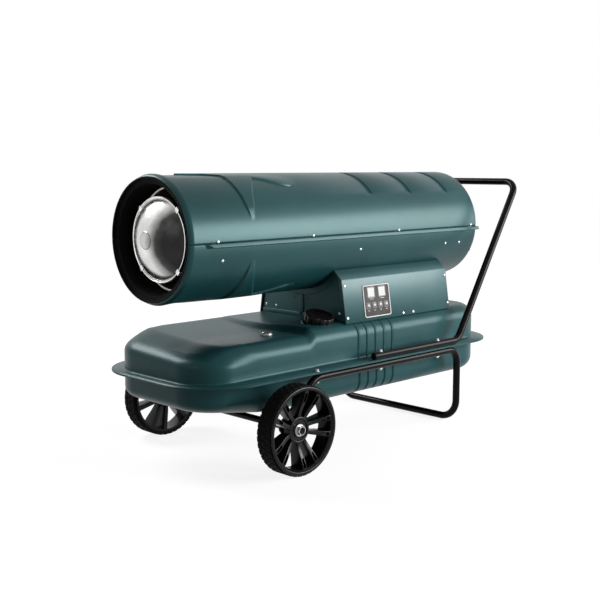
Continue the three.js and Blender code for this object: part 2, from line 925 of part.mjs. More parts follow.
// The plate that holds the nozzle and electrodes in the blast tube, with windows for the air.
function burnerCarrier() {
  const disc = turnX([
    [carrierFront, carrierBore],
    [carrierFront + carrierThickness, carrierBore],
    [carrierFront + carrierThickness, blastBore - seatGap],
    [carrierFront, blastBore - seatGap],
  ], 0, barrelHeight, midSides);
  const from = carrierFront - overrun;
  const to = carrierFront + carrierThickness + overrun;
  const holes = [1, -1].map((side) => (
    barX(electrodeRadius + seatGap, from, to, side * electrodeSpread, barrelHeight + electrodeRise)
  ));
  const windows = Array.from({ length: carrierWindows }, (_, k) => {
    const window = new THREE.CylinderGeometry(carrierWindowRadius, carrierWindowRadius, to - from, tubeSides);
    window.rotateZ(Math.PI / 2);
    window.translate((from + to) / 2, 0, carrierWindowPitch);
    return aroundBarrel(window, 2 * Math.PI * k / carrierWindows);
  });
  return cut(disc, ...holes, ...windows);
}

const nozzleHolderFront = blastFront + flameDiscInset + nozzleLength;

function fuelNozzle() {
  const front = nozzleHolderFront - nozzleLength;
  return turnX([
    [front, 0],
    [front, nozzleTip],
    [front + nozzleTip, nozzleRadius],
    [nozzleHolderFront, nozzleRadius],
    [nozzleHolderFront, nozzleHolderRadius],
    [nozzleHolderFront + nozzleHolderLength, nozzleHolderRadius],
    [nozzleHolderFront + nozzleHolderLength, 0],
  ], 0, barrelHeight, smallSides);
}

function electrode(side) {
  const rear = carrierFront + carrierThickness * 2;
  const y = side * electrodeSpread;
  const z = barrelHeight + electrodeRise;
  const front = rear - electrodeLength;
  const body = barX(electrodeRadius, front, rear, y, z);
  return join(body, barX(electrodePinRadius, front - electrodePinLength, front + overrun, y, z, tubeSides));
}

const motorRear = motorFront + motorLength;
const pumpFront = motorFront - seatGap - pumpLength;
const pumpMiddle = pumpFront + pumpPlace;

function fanMotor() {
  return turnX([
    [motorFront, shaftRadius + runGap],
    [motorFront, motorRadius - motorBell],
    [motorFront + motorBell, motorRadius],
    [motorRear - motorBell, motorRadius],
    [motorRear, motorRadius - motorBell],
    [motorRear, shaftRadius + runGap],
  ], 0, barrelHeight, midSides);
}

function motorShaft() {
  return barX(shaftRadius, motorFront - shaftForward, motorRear + shaftBehind, 0, barrelHeight);
}

function fuelPump() {
  const half = pumpSize / 2;
  const body = block(
    [pumpFront, -half, barrelHeight - half],
    [motorFront - seatGap, half, barrelHeight + half],
  );
  const cover = barX(pumpCoverRadius, pumpFront - pumpCoverDepth, pumpFront + overrun, 0, barrelHeight);
  const boreRadius = (shaftRadius + runGap) / smallFlat;
  const bore = barX(boreRadius, motorFront - shaftForward - overrun, motorFront, 0, barrelHeight);
  return cut(join(body, cover), bore);
}

function nozzlePipe() {
  const start = nozzleHolderFront + nozzleHolderLength + seatGap;
  const end = pumpFront - seatGap;
  const rise = pumpCoverRadius + pipeRadius + seatGap;
  const turnPlace = (start + pumpFront - pumpCoverDepth) / 2;
  const path = new BentPath([
    new THREE.Vector3(start, 0, barrelHeight),
    new THREE.Vector3(turnPlace, 0, barrelHeight),
    new THREE.Vector3(turnPlace, 0, barrelHeight + rise),
    new THREE.Vector3(end, 0, barrelHeight + rise),
  ], [0, pipeBend, pipeBend, 0]);
  return bentTube(path, pipeRadius, tubeSides);
}

// Six pitched blades on a hub, each wider at the tip than at the root.
function fan() {
  const hubFront = motorRear + fanGap;
  const middle = hubFront + fanHubLength / 2;
  const hub = turnX([
    [hubFront, shaftRadius + runGap],
    [hubFront, fanHubRadius],
    [hubFront + fanHubLength, fanHubRadius],
    [hubFront + fanHubLength, shaftRadius + runGap],
  ], 0, barrelHeight, midSides);
  const tipHalf = bladeChord / 2;
  const rootHalf = tipHalf * bladeRootShare;
  const root = fanHubRadius - overrun * 2;
  const blades = Array.from({ length: fanBlades }, (_, k) => {
    const shape = new THREE.Shape();
    shape.moveTo(-rootHalf, root);
    shape.lineTo(rootHalf, root);
    shape.quadraticCurveTo(tipHalf, (root + fanRadius) / 2, tipHalf * bladeRootShare, fanRadius);
    shape.lineTo(-rootHalf, fanRadius);
    shape.quadraticCurveTo(-tipHalf, (root + fanRadius) / 2, -rootHalf, root);
    const blade = new THREE.ExtrudeGeometry(shape, {
      depth: bladeThickness, bevelEnabled: false, curveSegments: tightSteps * 2,
    });
    blade.translate(0, 0, -bladeThickness / 2);
    blade.applyMatrix4(new THREE.Matrix4().set(0, 0, 1, 0, 1, 0, 0, 0, 0, 1, 0, 0, 0, 0, 0, 1));
    blade.rotateZ(radians(bladePitch));
    blade.translate(middle, 0, 0);
    return aroundBarrel(blade, 2 * Math.PI * k / fanBlades);
  });
  const bore = barX(shaftRadius + runGap, hubFront, hubFront + fanHubLength, 0, barrelHeight, midSides);
  return cut(join(hub, ...blades), bore);
}

// The guard over the air intake: rings and spokes in one plane, inside the rolled tail of the casing.
function intakeGrille() {
  const shape = new THREE.Shape();
  const pitch = (casingSeat - grilleRimWidth - grilleHubRadius) / grilleRings;
  const sector = 2 * Math.PI / grilleSpokes;
  const onRing = (radius, angle) => new THREE.Vector2(radius * Math.cos(angle), radius * Math.sin(angle));
  const arc = (radius, from, to) => Array.from({ length: shoulderSteps + 1 }, (_, k) => (
    onRing(radius, from + (to - from) * k / shoulderSteps)
  ));
  shape.setFromPoints(Array.from({ length: casingSides }, (_, k) => (
    onRing(casingSeat, 2 * Math.PI * k / casingSides)
  )));
  for (let ring = 0; ring < grilleRings; ring += 1) {
    const inner = grilleHubRadius + pitch * ring;
    const outer = inner + pitch - grilleWire;
    for (let k = 0; k < grilleSpokes; k += 1) {
      const spoke = (radius) => grilleWire / 2 / radius;
      const from = sector * k;
      const to = from + sector;
      shape.holes.push(new THREE.Path([
        ...arc(inner, from + spoke(inner), to - spoke(inner)),
        ...arc(outer, to - spoke(outer), from + spoke(outer)),
      ]));
    }
  }
  const front = tail - grilleSetback;
  const plate = plateX(shape, front, front + grilleWire);
  return plate.translate(0, 0, barrelHeight);
}

// The housing between tank and barrel, seen from its end: foot, shoulder, and slope up to the barrel.
const raisedHalf = tankWallHalf + raisedBulge;
const footHeight = raisedDeckHeight - tankShoulder
  + Math.sqrt(tankShoulder ** 2 - (housingFoot - sheet - raisedHalf + tankShoulder) ** 2) + seatGap;
const shoulderHeight = raisedDeckHeight + housingShoulderRise;

function housingLine() {
  const reach = barrelRadius + sheet;
  const drop = barrelHeight - shoulderHeight;
  const run = new THREE.Vector2(housingSlope, housingSlopeRise).normalize();
  const across = housingShoulder * run.x + drop * run.y;
  const length = across - Math.sqrt(across ** 2 - (housingShoulder ** 2 + drop ** 2 - reach ** 2));
  return [
    [-housingFoot, footHeight],
    [-housingShoulder, shoulderHeight],
    [-housingShoulder + run.x * length, shoulderHeight + run.y * length],
  ];
}

const coverLine = housingLine();
const faceTilt = -Math.atan2(housingFoot - housingShoulder, shoulderHeight - footHeight);
const faceLength = Math.hypot(housingFoot - housingShoulder, shoulderHeight - footHeight);
const faceMatrix = new THREE.Matrix4().makeRotationX(faceTilt);
faceMatrix.setPosition(housingFront, -housingFoot, footHeight);

function sideCover(line, thickness) {
  const bent = thickness > 0 ? coverLip : -coverLip;
  const lips = join(
    plateX(foldedSheet(line, bent), housingFront, housingFront + sheet),
    plateX(foldedSheet(line, bent), housingRear - sheet, housingRear),
  );
  const deck = block(
    [housingFront - overrun, -tankFlangeHalf, tankFlangeHeight],
    [housingRear + overrun, tankFlangeHalf, deckSeat],
  );
  return join(plateX(foldedSheet(line, thickness), housingFront, housingRear), cut(lips, deck));
}

// Places on the sloping control face, counted along X and up the face.
const plateTop = faceLength - plateDrop;
const windowPlaces = [-1, 1].map((side) => plateStart + plateLength / 2 + side * windowPitch / 2);
const buttonPlaces = Array.from({ length: buttons }, (_, k) => (
  plateStart + plateLength / 2 + (k - (buttons - 1) / 2) * buttonPitch
));
const windowMiddle = plateTop - windowTop - windowHeight / 2;
const buttonMiddle = plateTop - buttonDrop;

function faceBlock(x, z, length, height, from, to) {
  const geometry = new THREE.BoxGeometry(length, to - from, height);
  return geometry.translate(x, (from + to) / 2, z);
}

function faceBar(radius, x, z, from, to, sides = smallSides) {
  const geometry = new THREE.CylinderGeometry(radius, radius, to - from, sides);
  return geometry.translate(x, (from + to) / 2, z);
}

function faceCutters(from, to) {
  const windows = windowPlaces.map((x) => (
    faceBlock(x, windowMiddle, windowLength + seatGap * 2, windowHeight + seatGap * 2, from, to)
  ));
  const keys = buttonPlaces.map((x) => faceBar(buttonRadius + runGap, x, buttonMiddle, from, to));
  return [...windows, ...keys];
}

function boardCorners() {
  return [plateStart + boardMargin, plateStart + plateLength - boardMargin].flatMap((x) => (
    [plateTop - boardPost * 2, plateTop - plateHeight + boardMargin].map((z) => [x, z])
  ));
}

function controlCover() {
  const posts = boardCorners().map(([x, z]) => (
    placed(faceBar(boardPost, x, z, sheet / 2, boardDepth - seatGap, hexSides), faceMatrix)
  ));
  const cutters = faceCutters(-overrun, sheet + overrun).map((geometry) => placed(geometry, faceMatrix));
  return cut(join(sideCover(coverLine, sheet), ...posts), ...cutters);
}

function displayPlate() {
  const shape = roundedPlan(0, plateLength, plateHeight / 2, plateCorner, plateCorner);
  const geometry = new THREE.ExtrudeGeometry(shape, {
    depth: plateThickness, bevelEnabled: false, curveSegments: tightSteps,
  });
  geometry.rotateX(Math.PI / 2);
  geometry.translate(plateStart, -seatGap, plateTop - plateHeight / 2);
  const cutters = faceCutters(-seatGap - plateThickness - overrun, overrun).map(solid);
  return cut(solid(geometry), ...cutters);
}

function displayWindow(x) {
  const front = -seatGap - plateThickness - windowProud;
  return solid(faceBlock(x, windowMiddle, windowLength, windowHeight, front, boardDepth - seatGap));
}

function pushButton(x) {
  const front = -seatGap - plateThickness - buttonProud;
  const end = boardDepth - switchHeight - seatGap - buttonTravel;
  return solid(faceBar(buttonRadius, x, buttonMiddle, front, end));
}

function circuitBoard() {
  const middle = plateTop - plateHeight / 2;
  const sheetOfBoard = faceBlock(
    plateStart + plateLength / 2, middle, plateLength, plateHeight, boardDepth, boardDepth + boardThickness,
  );
  const root = boardDepth + boardThickness / 2;
  const switches = buttonPlaces.map((x) => (
    solid(faceBlock(x, buttonMiddle, switchSize, switchSize, boardDepth - switchHeight, root))
  ));
  return join(solid(sheetOfBoard), ...switches);
}

// The end panels fill the housing between the covers and saddle the barrel.
function endPanel(from) {
  const inside = offsetLine(coverLine, sheet + seatGap);
  const outline = [...inside, ...mirrored(inside).reverse()];
  const plate = plateX(shapeOf(outline), from, from + sheet);
  const saddle = (barrelRadius + seatGap) / casingFlat;
  const barrel = barX(saddle, from - overrun, from + sheet + overrun, 0, barrelHeight, casingSides);
  const below = block(
    [from - overrun, -tankFlangeHalf, tankBottom],
    [from + sheet + overrun, tankFlangeHalf, deckSeat],
  );
  return cut(plate, barrel, below);
}

function housingFrontPanel() {
  const from = housingFront + panelInset;
  const plate = endPanel(from);
  const bottom = barrelHeight - barrelRadius - saddleBand;
  const front = from - panelRibRise;
  const root = from + sheet / 2;
  const rib = block([front, -panelRibWidth / 2, deckSeat], [root, panelRibWidth / 2, bottom]);
  const half = housingFoot - panelFlangeMargin;
  const flange = block([front, -half, deckSeat], [root, half, deckSeat + panelFlange]);
  const groove = turnX([
    [from - overrun, barrelRadius + saddleBand],
    [from + saddleGrooveDepth, barrelRadius + saddleBand],
    [from + saddleGrooveDepth, barrelRadius + saddleBand + saddleGroove],
    [from - overrun, barrelRadius + saddleBand + saddleGroove],
  ], 0, barrelHeight);
  const slots = [1, -1].map((side) => {
    const y = side * panelSlotPitch / 2;
    const z = bottom - panelSlotDrop;
    return block(
      [from - overrun, y - panelSlotWidth / 2, z - panelSlotHeight / 2],
      [from + sheet + overrun, y + panelSlotWidth / 2, z + panelSlotHeight / 2],
    );
  });
  return cut(join(cut(plate, groove), rib, flange), ...slots);
}

function housingRearPanel() {
  const from = housingRear - panelInset - sheet;
  const end = from + sheet + overrun;
  const hole = barX(inletRadius + seatGap, from - overrun, end, -inletOffset, raisedDeckHeight + inletRise);
  return cut(endPanel(from), hole);
}

const floorTop = deckSeat + sheet;

function housingFloor() {
  const half = housingShoulder - floorMargin;
  const floor = block(
    [housingFront + panelInset + sheet + seatGap, -half, deckSeat],
    [housingRear - panelInset - sheet - seatGap, half, floorTop],
  );
  return cut(floor, barZ(suctionRadius + runGap, deckSeat - overrun, floorTop + overrun, pumpMiddle, 0));
}

function ignitionTransformer() {
  const front = housingFront + transformerSetback;
  const near = -housingShoulder + floorMargin + overrun;
  const far = near + transformerDepth;
  const top = floorTop + seatGap + transformerHeight;
  const body = block([front, near, floorTop + seatGap], [front + transformerLength, far, top]);
  const bushings = [bushingInset, transformerLength - bushingInset].map((place) => (
    barZ(bushingRadius, top - overrun, top + bushingHeight, front + place, (near + far) / 2)
  ));
  return join(body, ...bushings);
}

function powerInlet() {
  const face = housingRear - panelInset + seatGap;
  return turnX([
    [face - sheet - seatGap - inletDepth, 0],
    [face - sheet - seatGap - inletDepth, inletRadius],
    [face, inletRadius],
    [face, inletFlange],
    [face + inletFlangeThickness, inletFlange],
    [face + inletFlangeThickness, 0],
  ], -inletOffset, raisedDeckHeight + inletRise, smallSides);
}

// One block of the tank with round shoulders above (or below), between a level and its crown.
function pillow(inset, half, level, crown, span = []) {
  const front = tankFlangeInsetFront + inset;
  const rear = tankFlangeInsetRear - inset;
  const shoulder = tankShoulder - inset;
  const shape = roundedPlan(
    front + shoulder, rear - shoulder, half - inset - shoulder,
    tankWallCorner - tankShoulder, tankWallCorner - tankShoulder,
  );
  const height = Math.abs(crown - level);
  const geometry = new THREE.ExtrudeGeometry(shape, {
    depth: height - shoulder,
    bevelEnabled: true,
    bevelThickness: shoulder,
    bevelSize: shoulder,
    bevelSegments: shoulderSteps,
    curveSegments: cornerSteps,
  });
  if (crown < level) geometry.rotateX(Math.PI);
  geometry.translate(0, 0, level);
  const body = solid(geometry);
  const reach = shoulder + overrun;
  const low = crown < level ? level : level - reach;
  const high = crown < level ? level + reach : level;
  const trimmed = cut(body, block(
    [front - overrun, -tankFlangeHalf, low],
    [rear + overrun, tankFlangeHalf, high],
  ));
  if (span.length === 0) return trimmed;
  const [from, to] = span;
  return trimmed.intersect(block(
    [from, -tankFlangeHalf, Math.min(level, crown) - overrun],
    [to, tankFlangeHalf, Math.max(level, crown) + overrun],
  ));
}

// Upright grooves pressed into both long walls, running out on the shoulder.
function pleatCutters(half, extra, from, to) {
  const apex = half - pleatDepth - extra;
  const reach = half + overrun;
  const width = (pleatRadius + extra) * (reach - apex) / (half - apex);
  return Array.from({ length: pleats }, (_, k) => pleatStart + pleatPitch * k).flatMap((x) => (
    [1, -1].map((side) => (
      plateZ(shapeOf([[x - width, side * reach], [x, side * apex], [x + width, side * reach]]), from, to)
    ))
  ));
}

const tankFlangeRear = -tankFlangeFront + tankFlangeLength;
const tankFlangeInsetFront = -tankFlangeFront + tankWallInset;
const tankFlangeInsetRear = tankFlangeRear - tankWallInset;
const innerStep = raisedDeckStart + tankSheet;
const fillerX = raisedDeckStart + neckSetback;
const fillerMatrix = new THREE.Matrix4().makeRotationX(radians(neckTilt));
fillerMatrix.setPosition(fillerX, -neckOffset, raisedDeckHeight);

function fillerBar(radius, from, to) {
  const geometry = new THREE.CylinderGeometry(radius, radius, to - from, midSides);
  geometry.rotateX(Math.PI / 2);
  geometry.translate(0, 0, (from + to) / 2);
  return placed(geometry, fillerMatrix);
}

function flangePlate(from, to) {
  return plateZ(roundedPlan(
    -tankFlangeFront, tankFlangeRear, tankFlangeHalf, tankFlangeCorner, tankFlangeCorner,
  ), from, to);
}

function tankUpper() {
  const level = tankFlangeHeight;
  const outside = cut(join(
    pillow(0, tankWallHalf, level, deckHeight, [-tankFlangeFront, raisedDeckStart + overrun]),
    pillow(0, raisedHalf, level, raisedDeckHeight, [raisedDeckStart, tankFlangeRear]),
    flangePlate(level, level + tankSheet),
    fillerBar(bossRadius, -bossDepth, 0),
  ), fillerBar(bossRadius, 0, bossDepth), ...pleatCutters(raisedHalf, 0, flangeTop, raisedDeckHeight));
  const lower = level - overrun;
  const inside = join(
    cut(join(
      pillow(tankSheet, tankWallHalf, lower, deckHeight - tankSheet, [-tankFlangeFront, innerStep + overrun]),
      pillow(tankSheet, raisedHalf, lower, raisedDeckHeight - tankSheet, [innerStep, tankFlangeRear]),
    ), ...pleatCutters(raisedHalf, tankSheet, lower - overrun, raisedDeckHeight)),
    fillerBar(bossRadius - tankSheet, -bossDepth, -tankSheet),
  );
  const holes = [
    fillerBar(neckRadius + seatGap, -neckDepth, bossDepth),
    barZ(gaugeStemRadius + seatGap, level, deckHeight + overrun, gaugeForward, -gaugeOffset),
    barZ(suctionRadius + seatGap, level, raisedDeckHeight + overrun, pumpMiddle, 0),
  ];
  return cut(outside, inside, ...holes);
}

function tankLower() {
  const level = tankFlangeHeight - seatGap;
  const outside = cut(
    join(pillow(0, tankWallHalf, level, tankBottom), flangePlate(level - tankSheet, level)),
    ...pleatCutters(tankWallHalf, 0, tankBottom, level - tankSheet),
  );
  const inside = cut(
    pillow(tankSheet, tankWallHalf, level + overrun, tankBottom + tankSheet),
    ...pleatCutters(tankWallHalf, tankSheet, tankBottom, level + overrun * 2),
  );
  const drainBore = (drainShank + seatGap) / smallFlat;
  const floor = tankBottom + tankSheet;
  const drain = barZ(drainBore, tankBottom - overrun, floor + overrun, drainForward, -drainOffset);
  return cut(outside, inside, drain);
}

function fillerNeck() {
  return turnZ([
    [-neckDepth, neckBore],
    [-neckDepth, neckRadius],
    [seatGap, neckRadius],
    [seatGap, neckFlangeRadius],
    [seatGap + neckFlange, neckFlangeRadius],
    [seatGap + neckFlange, neckRadius],
    [neckHeight, neckRadius],
    [neckHeight, neckBore],
  ], 0, 0, midSides);
}

const capCeiling = capBase + capHeight - capWall;

// The part of the cap that seals the neck; the grip turns on its stud.
function capCore() {
  const seat = neckHeight + seatGap;
  return turnZ([
    [seat - coreDepth, 0],
    [seat - coreDepth, coreRadius],
    [seat, coreRadius],
    [seat, capSealRadius],
    [seat + capSeal, capSealRadius],
    [seat + capSeal, capStud],
    [capCeiling - seatGap, capStud],
    [capCeiling - seatGap, 0],
  ], 0, 0, midSides);
}

// The lobed grip of the filler cap, open below.
function capGrip() {
  const points = capLobes * shoulderSteps;
  const edge = capRadius - capCrown;
  const outline = Array.from({ length: points }, (_, k) => {
    const angle = 2 * Math.PI * k / points;
    const dip = capLobeDip * (1 - Math.abs(Math.cos(capLobes / 2 * angle)));
    return [(edge - dip) * Math.cos(angle), (edge - dip) * Math.sin(angle)];
  });
  const geometry = new THREE.ExtrudeGeometry(shapeOf(outline), {
    depth: capHeight - capCrown,
    bevelEnabled: true,
    bevelThickness: capCrown,
    bevelSize: capCrown,
    bevelSegments: 1,
  });
  geometry.translate(0, 0, capBase);
  const hollow = capRadius - capLobeDip - capWall;
  return cut(
    solid(geometry),
    barZ(capRadius + overrun, capBase - capCrown - overrun, capBase, 0, 0),
    barZ(hollow, capBase - overrun, capCeiling, 0, 0, midSides),
  );
}

const gaugeFoot = deckHeight + seatGap;
const dialFloor = gaugeFoot + gaugeDialDepth;
const stemEnd = gaugeFoot - gaugeStemDepth;
const pivotHeight = stemEnd - pivotDrop;

function gaugeBody() {
  const body = turnZ([
    [stemEnd, spindleRadius + runGap],
    [stemEnd, gaugeStemRadius],
    [gaugeFoot, gaugeStemRadius],
    [gaugeFoot, gaugeRadius],
    [gaugeFoot + gaugeHeight, gaugeRadius],
    [gaugeFoot + gaugeHeight, gaugeRadius - gaugeLip],
    [dialFloor, gaugeRadius - gaugeLip],
    [dialFloor, spindleRadius + runGap],
  ], gaugeForward, -gaugeOffset, smallSides);
  const inner = pivotEyeWidth / 2 + runGap;
  const ears = [1, -1].map((side) => {
    const y = [-gaugeOffset + side * inner, -gaugeOffset + side * (inner + pivotEar)].sort((a, b) => a - b);
    return block(
      [gaugeForward - pivotEye, y[0], pivotHeight - pivotEye],
      [gaugeForward + pivotEye, y[1], stemEnd + overrun],
    );
  });
  const pinHalf = inner + pivotEar;
  const pin = barY(pivotPin, -gaugeOffset - pinHalf, -gaugeOffset + pinHalf, gaugeForward, pivotHeight);
  return join(body, ...ears, pin);
}

function gaugeNeedle() {
  const bottom = dialFloor + runGap;
  const top = bottom + needleThickness;
  const spindle = barZ(spindleRadius, stemEnd + overrun, top, gaugeForward, -gaugeOffset);
  const hand = block(
    [gaugeForward - needleWidth / 2, -gaugeOffset - needleWidth, bottom],
    [gaugeForward + needleWidth / 2, -gaugeOffset + needleLength, top],
  );
  return join(spindle, hand);
}

function gaugeLens() {
  const top = gaugeFoot + gaugeHeight - seatGap;
  return barZ(gaugeRadius - gaugeLip - seatGap, top - lensThickness, top, gaugeForward, -gaugeOffset);
}

// The float hangs from a pin under the gauge and swings with the fuel.
function floatArm() {
  const arm = new THREE.CylinderGeometry(floatArmRadius, floatArmRadius, floatArmLength, tubeSides);
  arm.rotateZ(-Math.PI / 2);
  arm.translate(floatArmLength / 2, 0, 0);
  const float = new THREE.CylinderGeometry(floatRadius, floatRadius, floatWidth, midSides);
  float.translate(floatArmLength, 0, 0);
  const eye = new THREE.CylinderGeometry(pivotEye, pivotEye, pivotEyeWidth, smallSides);
  const boreRadius = pivotPin + runGap;
  const bore = new THREE.CylinderGeometry(boreRadius, boreRadius, pivotEyeWidth * 2, smallSides);
  const matrix = new THREE.Matrix4().makeRotationY(radians(floatDroop));
  matrix.setPosition(gaugeForward, -gaugeOffset, pivotHeight);
  const body = join(placed(arm, matrix), placed(float, matrix), placed(eye, matrix));
  return cut(body, placed(bore, matrix));
}

function drainPlug() {
  return turnZ([
    [tankBottom - seatGap - drainHead, 0],
    [tankBottom - seatGap - drainHead, drainRadius],
    [tankBottom - seatGap, drainRadius],
    [tankBottom - seatGap, drainShank],
    [tankBottom + tankSheet + drainThread, drainShank],
    [tankBottom + tankSheet + drainThread, 0],
  ], drainForward, -drainOffset, hexSides);
}

// The suction pipe rises from a filter near the bottom of the tank straight up to the pump.
function suctionPipe() {
  const bottom = tankBottom + tankSheet + seatGap;
  const top = barrelHeight - pumpSize / 2 - seatGap;
  return turnZ([
    [bottom, 0],
    [bottom, filterRadius],
    [bottom + filterHeight, filterRadius],
    [bottom + filterHeight, suctionRadius],
    [top, suctionRadius],
    [top, suctionBore],
    [top - filterHeight, suctionBore],
    [top - filterHeight, 0],
  ], pumpMiddle, 0, smallSides);
}

// Bent tube frames. Both are the same on either side.
function bothSides(line) {
  const near = line.map(([x, z]) => new THREE.Vector3(x, -railOffset, z));
  const far = line.map(([x, z]) => new THREE.Vector3(x, railOffset, z)).reverse();
  return [...near, ...far];
}

// A bent tube, bored at both ends as far as plugs and sockets reach.
function boredTube(path) {
  const bores = [0, 1].map((share) => {
    const point = path.getPointAt(share);
    const inward = path.getTangentAt(share).multiplyScalar(share > 0 ? -1 : 1);
    const bore = new BentPath([
      point.clone().addScaledVector(inward, -overrun),
      point.clone().addScaledVector(inward, plugLength + overrun),
    ], [0, 0]);
    return bentTube(bore, tubeRadius - tubeWall, tubeSides);
  });
  return cut(bentTube(path, tubeRadius, tubeSides), ...bores);
}

const railSlope = Math.atan2(legRailHeight - railEndHeight, frontDropReach - railEndReach);

function legFrame() {
  const path = new BentPath(bothSides([
    [railEndReach, railEndHeight],
    [frontDropReach, legRailHeight],
    [legReach, legRailHeight],
    [legReach, tubeSeat],
  ]), [0, frontBend, legBend, legBend, legBend, legBend, frontBend, 0]);
  return boredTube(path);
}

function handle() {
  const bendPlace = gripReach - gripRun;
  const path = new BentPath(bothSides([
    [handleStart, handleRailHeight],
    [bendPlace, handleRailHeight],
    [gripReach, gripHeight],
  ]), [0, gripBend, gripBend, gripBend, gripBend, 0]);
  return boredTube(path);
}

function handlePlug(side) {
  const bore = tubeRadius - tubeWall - seatGap;
  return turnX([
    [handleStart - seatGap - plugHead, 0],
    [handleStart - seatGap - plugHead, tubeSeat - plugHead],
    [handleStart - seatGap, tubeSeat],
    [handleStart - seatGap, bore * tubeFlat],
    [handleStart + plugLength, bore * tubeFlat],
    [handleStart + plugLength, 0],
  ], side * railOffset, handleRailHeight, tubeSides);
}

// A plate on the axle with a socket that holds the end of the frame tube.
function axleBracket(side) {
  const y = side * railOffset;
  const from = y - bracketThickness / 2;
  const to = y + bracketThickness / 2;
  const reach = Math.hypot(railEndReach, railEndHeight - wheelRadius);
  const lean = Math.atan2(railEndHeight - wheelRadius, railEndReach);
  const arm = new THREE.BoxGeometry(reach, bracketThickness, bracketWidth / 2);
  arm.translate(reach / 2, 0, 0);
  const armMatrix = new THREE.Matrix4().makeRotationY(-lean);
  armMatrix.setPosition(0, y, wheelRadius);
  const socketRadius = tubeRadius + seatGap + bracketSocketWall;
  const tubeEnd = (radius, start, end) => {
    const geometry = new THREE.CylinderGeometry(radius, radius, end - start, smallSides);
    geometry.rotateZ(-Math.PI / 2);
    geometry.translate((start + end) / 2, 0, 0);
    const matrix = new THREE.Matrix4().makeRotationY(-railSlope);
    matrix.setPosition(railEndReach, y, railEndHeight);
    return placed(geometry, matrix);
  };
  const boss = barY(bracketWidth / 2, from, to, 0, wheelRadius);
  const socket = tubeEnd(socketRadius, -bracketSocketWall, bracketSocketLength);
  return cut(
    join(boss, placed(arm, armMatrix), socket),
    tubeEnd((tubeRadius + seatGap) / smallFlat, -seatGap, bracketSocketLength + overrun),
    barY((axleRadius + seatGap) / smallFlat, from - overrun, to + overrun, 0, wheelRadius),
  );
}

const hubFace = wheelFace - hubRecess;
const wheelInside = wheelFace - wheelWidth;
const axleEnd = hubFace + washerThickness + nutHeight + overrun;

function axle() {
  const stop = wheelInside - seatGap;
  return turnY([
    [-axleEnd, 0],
    [-axleEnd, axleRadius],
    [-stop, axleRadius],
    [-stop, axleCollar],
    [-stop + axleCollarLength, axleCollar],
    [-stop + axleCollarLength, axleRadius],
    [stop - axleCollarLength, axleRadius],
    [stop - axleCollarLength, axleCollar],
    [stop, axleCollar],
    [stop, axleRadius],
    [axleEnd, axleRadius],
    [axleEnd, 0],
  ], 0, wheelRadius, smallSides);
}

// Wheels are drawn about their own centre line, with the outer face towards -Y.
function spokeOutline(angle, rootAngle, from, to, margin, steps = shoulderSteps) {
  const inner = hubFaceRadius - overrun;
  const outer = rimRadius - rimWall / 2;
  const left = [];
  const right = [];
  for (let i = 0; i <= steps; i += 1) {
    const share = from + (to - from) * i / steps;
    const radius = inner + (outer - inner) * share;
    const turn = rootAngle + (angle - rootAngle) * Math.sin(share * Math.PI / 2);
    const half = (spokeRootWidth + (spokeTipWidth - spokeRootWidth) * share) / 2 - margin;
    const [cos, sin] = [Math.cos(turn), Math.sin(turn)];
    left.push([radius * cos - half * sin, radius * sin + half * cos]);
    right.push([radius * cos + half * sin, radius * sin - half * cos]);
  }
  return shapeOf([...left, ...right.reverse()]);
}

// Spokes lean outwards from the hub to the rim.
function dished(shape, front, depth) {
  const geometry = new THREE.ExtrudeGeometry(shape, { depth, bevelEnabled: false });
  geometry.rotateX(Math.PI / 2);
  geometry.translate(0, front + depth, 0);
  const places = geometry.getAttribute('position');
  for (let i = 0; i < places.count; i += 1) {
    const radius = Math.hypot(places.getX(i), places.getZ(i));
    const share = fade(radius, hubFaceRadius, rimRadius - rimWall - hubFaceRadius);
    places.setY(i, places.getY(i) - spokeDish * share);
  }
  return solid(geometry);
}

function wheelRim() {
  const rim = turnY([
    [-wheelFace, rimLipRadius - rimLipWidth],
    [-wheelFace, rimLipRadius],
    [-wheelFace + rimLipDepth, rimLipRadius],
    [-wheelFace + rimLipDepth, rimRadius],
    [-wheelInside - overrun, rimRadius],
    [-wheelInside - overrun, rimRadius - rimWall],
    [-wheelFace + rimLipDepth, rimRadius - rimWall],
  ], 0, 0);
  const hub = turnY([
    [-hubFace, 0],
    [-hubFace, hubFaceRadius],
    [-hubFace + spokeDepth, hubFaceRadius],
    [-hubFace + spokeDepth, hubRadius],
    [-wheelInside, hubRadius],
    [-wheelInside, 0],
  ], 0, 0, smallSides);
  const spokes = [];
  const pockets = [];
  for (let k = 0; k < spokePairs; k += 1) {
    for (const side of [1, -1]) {
      const middle = radians(spokePhase) + 2 * Math.PI * k / spokePairs;
      const tip = middle + side * radians(spokeSpread) / 2;
      const root = middle + side * radians(spokeRootSpread) / 2;
      spokes.push(dished(spokeOutline(tip, root, 0, 1, 0), -hubFace, spokeDepth));
      const pocket = spokeOutline(tip, root, pocketStartShare, pocketEndShare, pocketMargin, 1);
      pockets.push(dished(pocket, -hubFace - overrun, pocketDepth + overrun));
    }
  }
  const bore = barY((axleRadius + runGap) / smallFlat, -wheelFace, -wheelInside + overrun, 0, 0);
  return cut(join(rim, hub, ...spokes), ...pockets, bore);
}

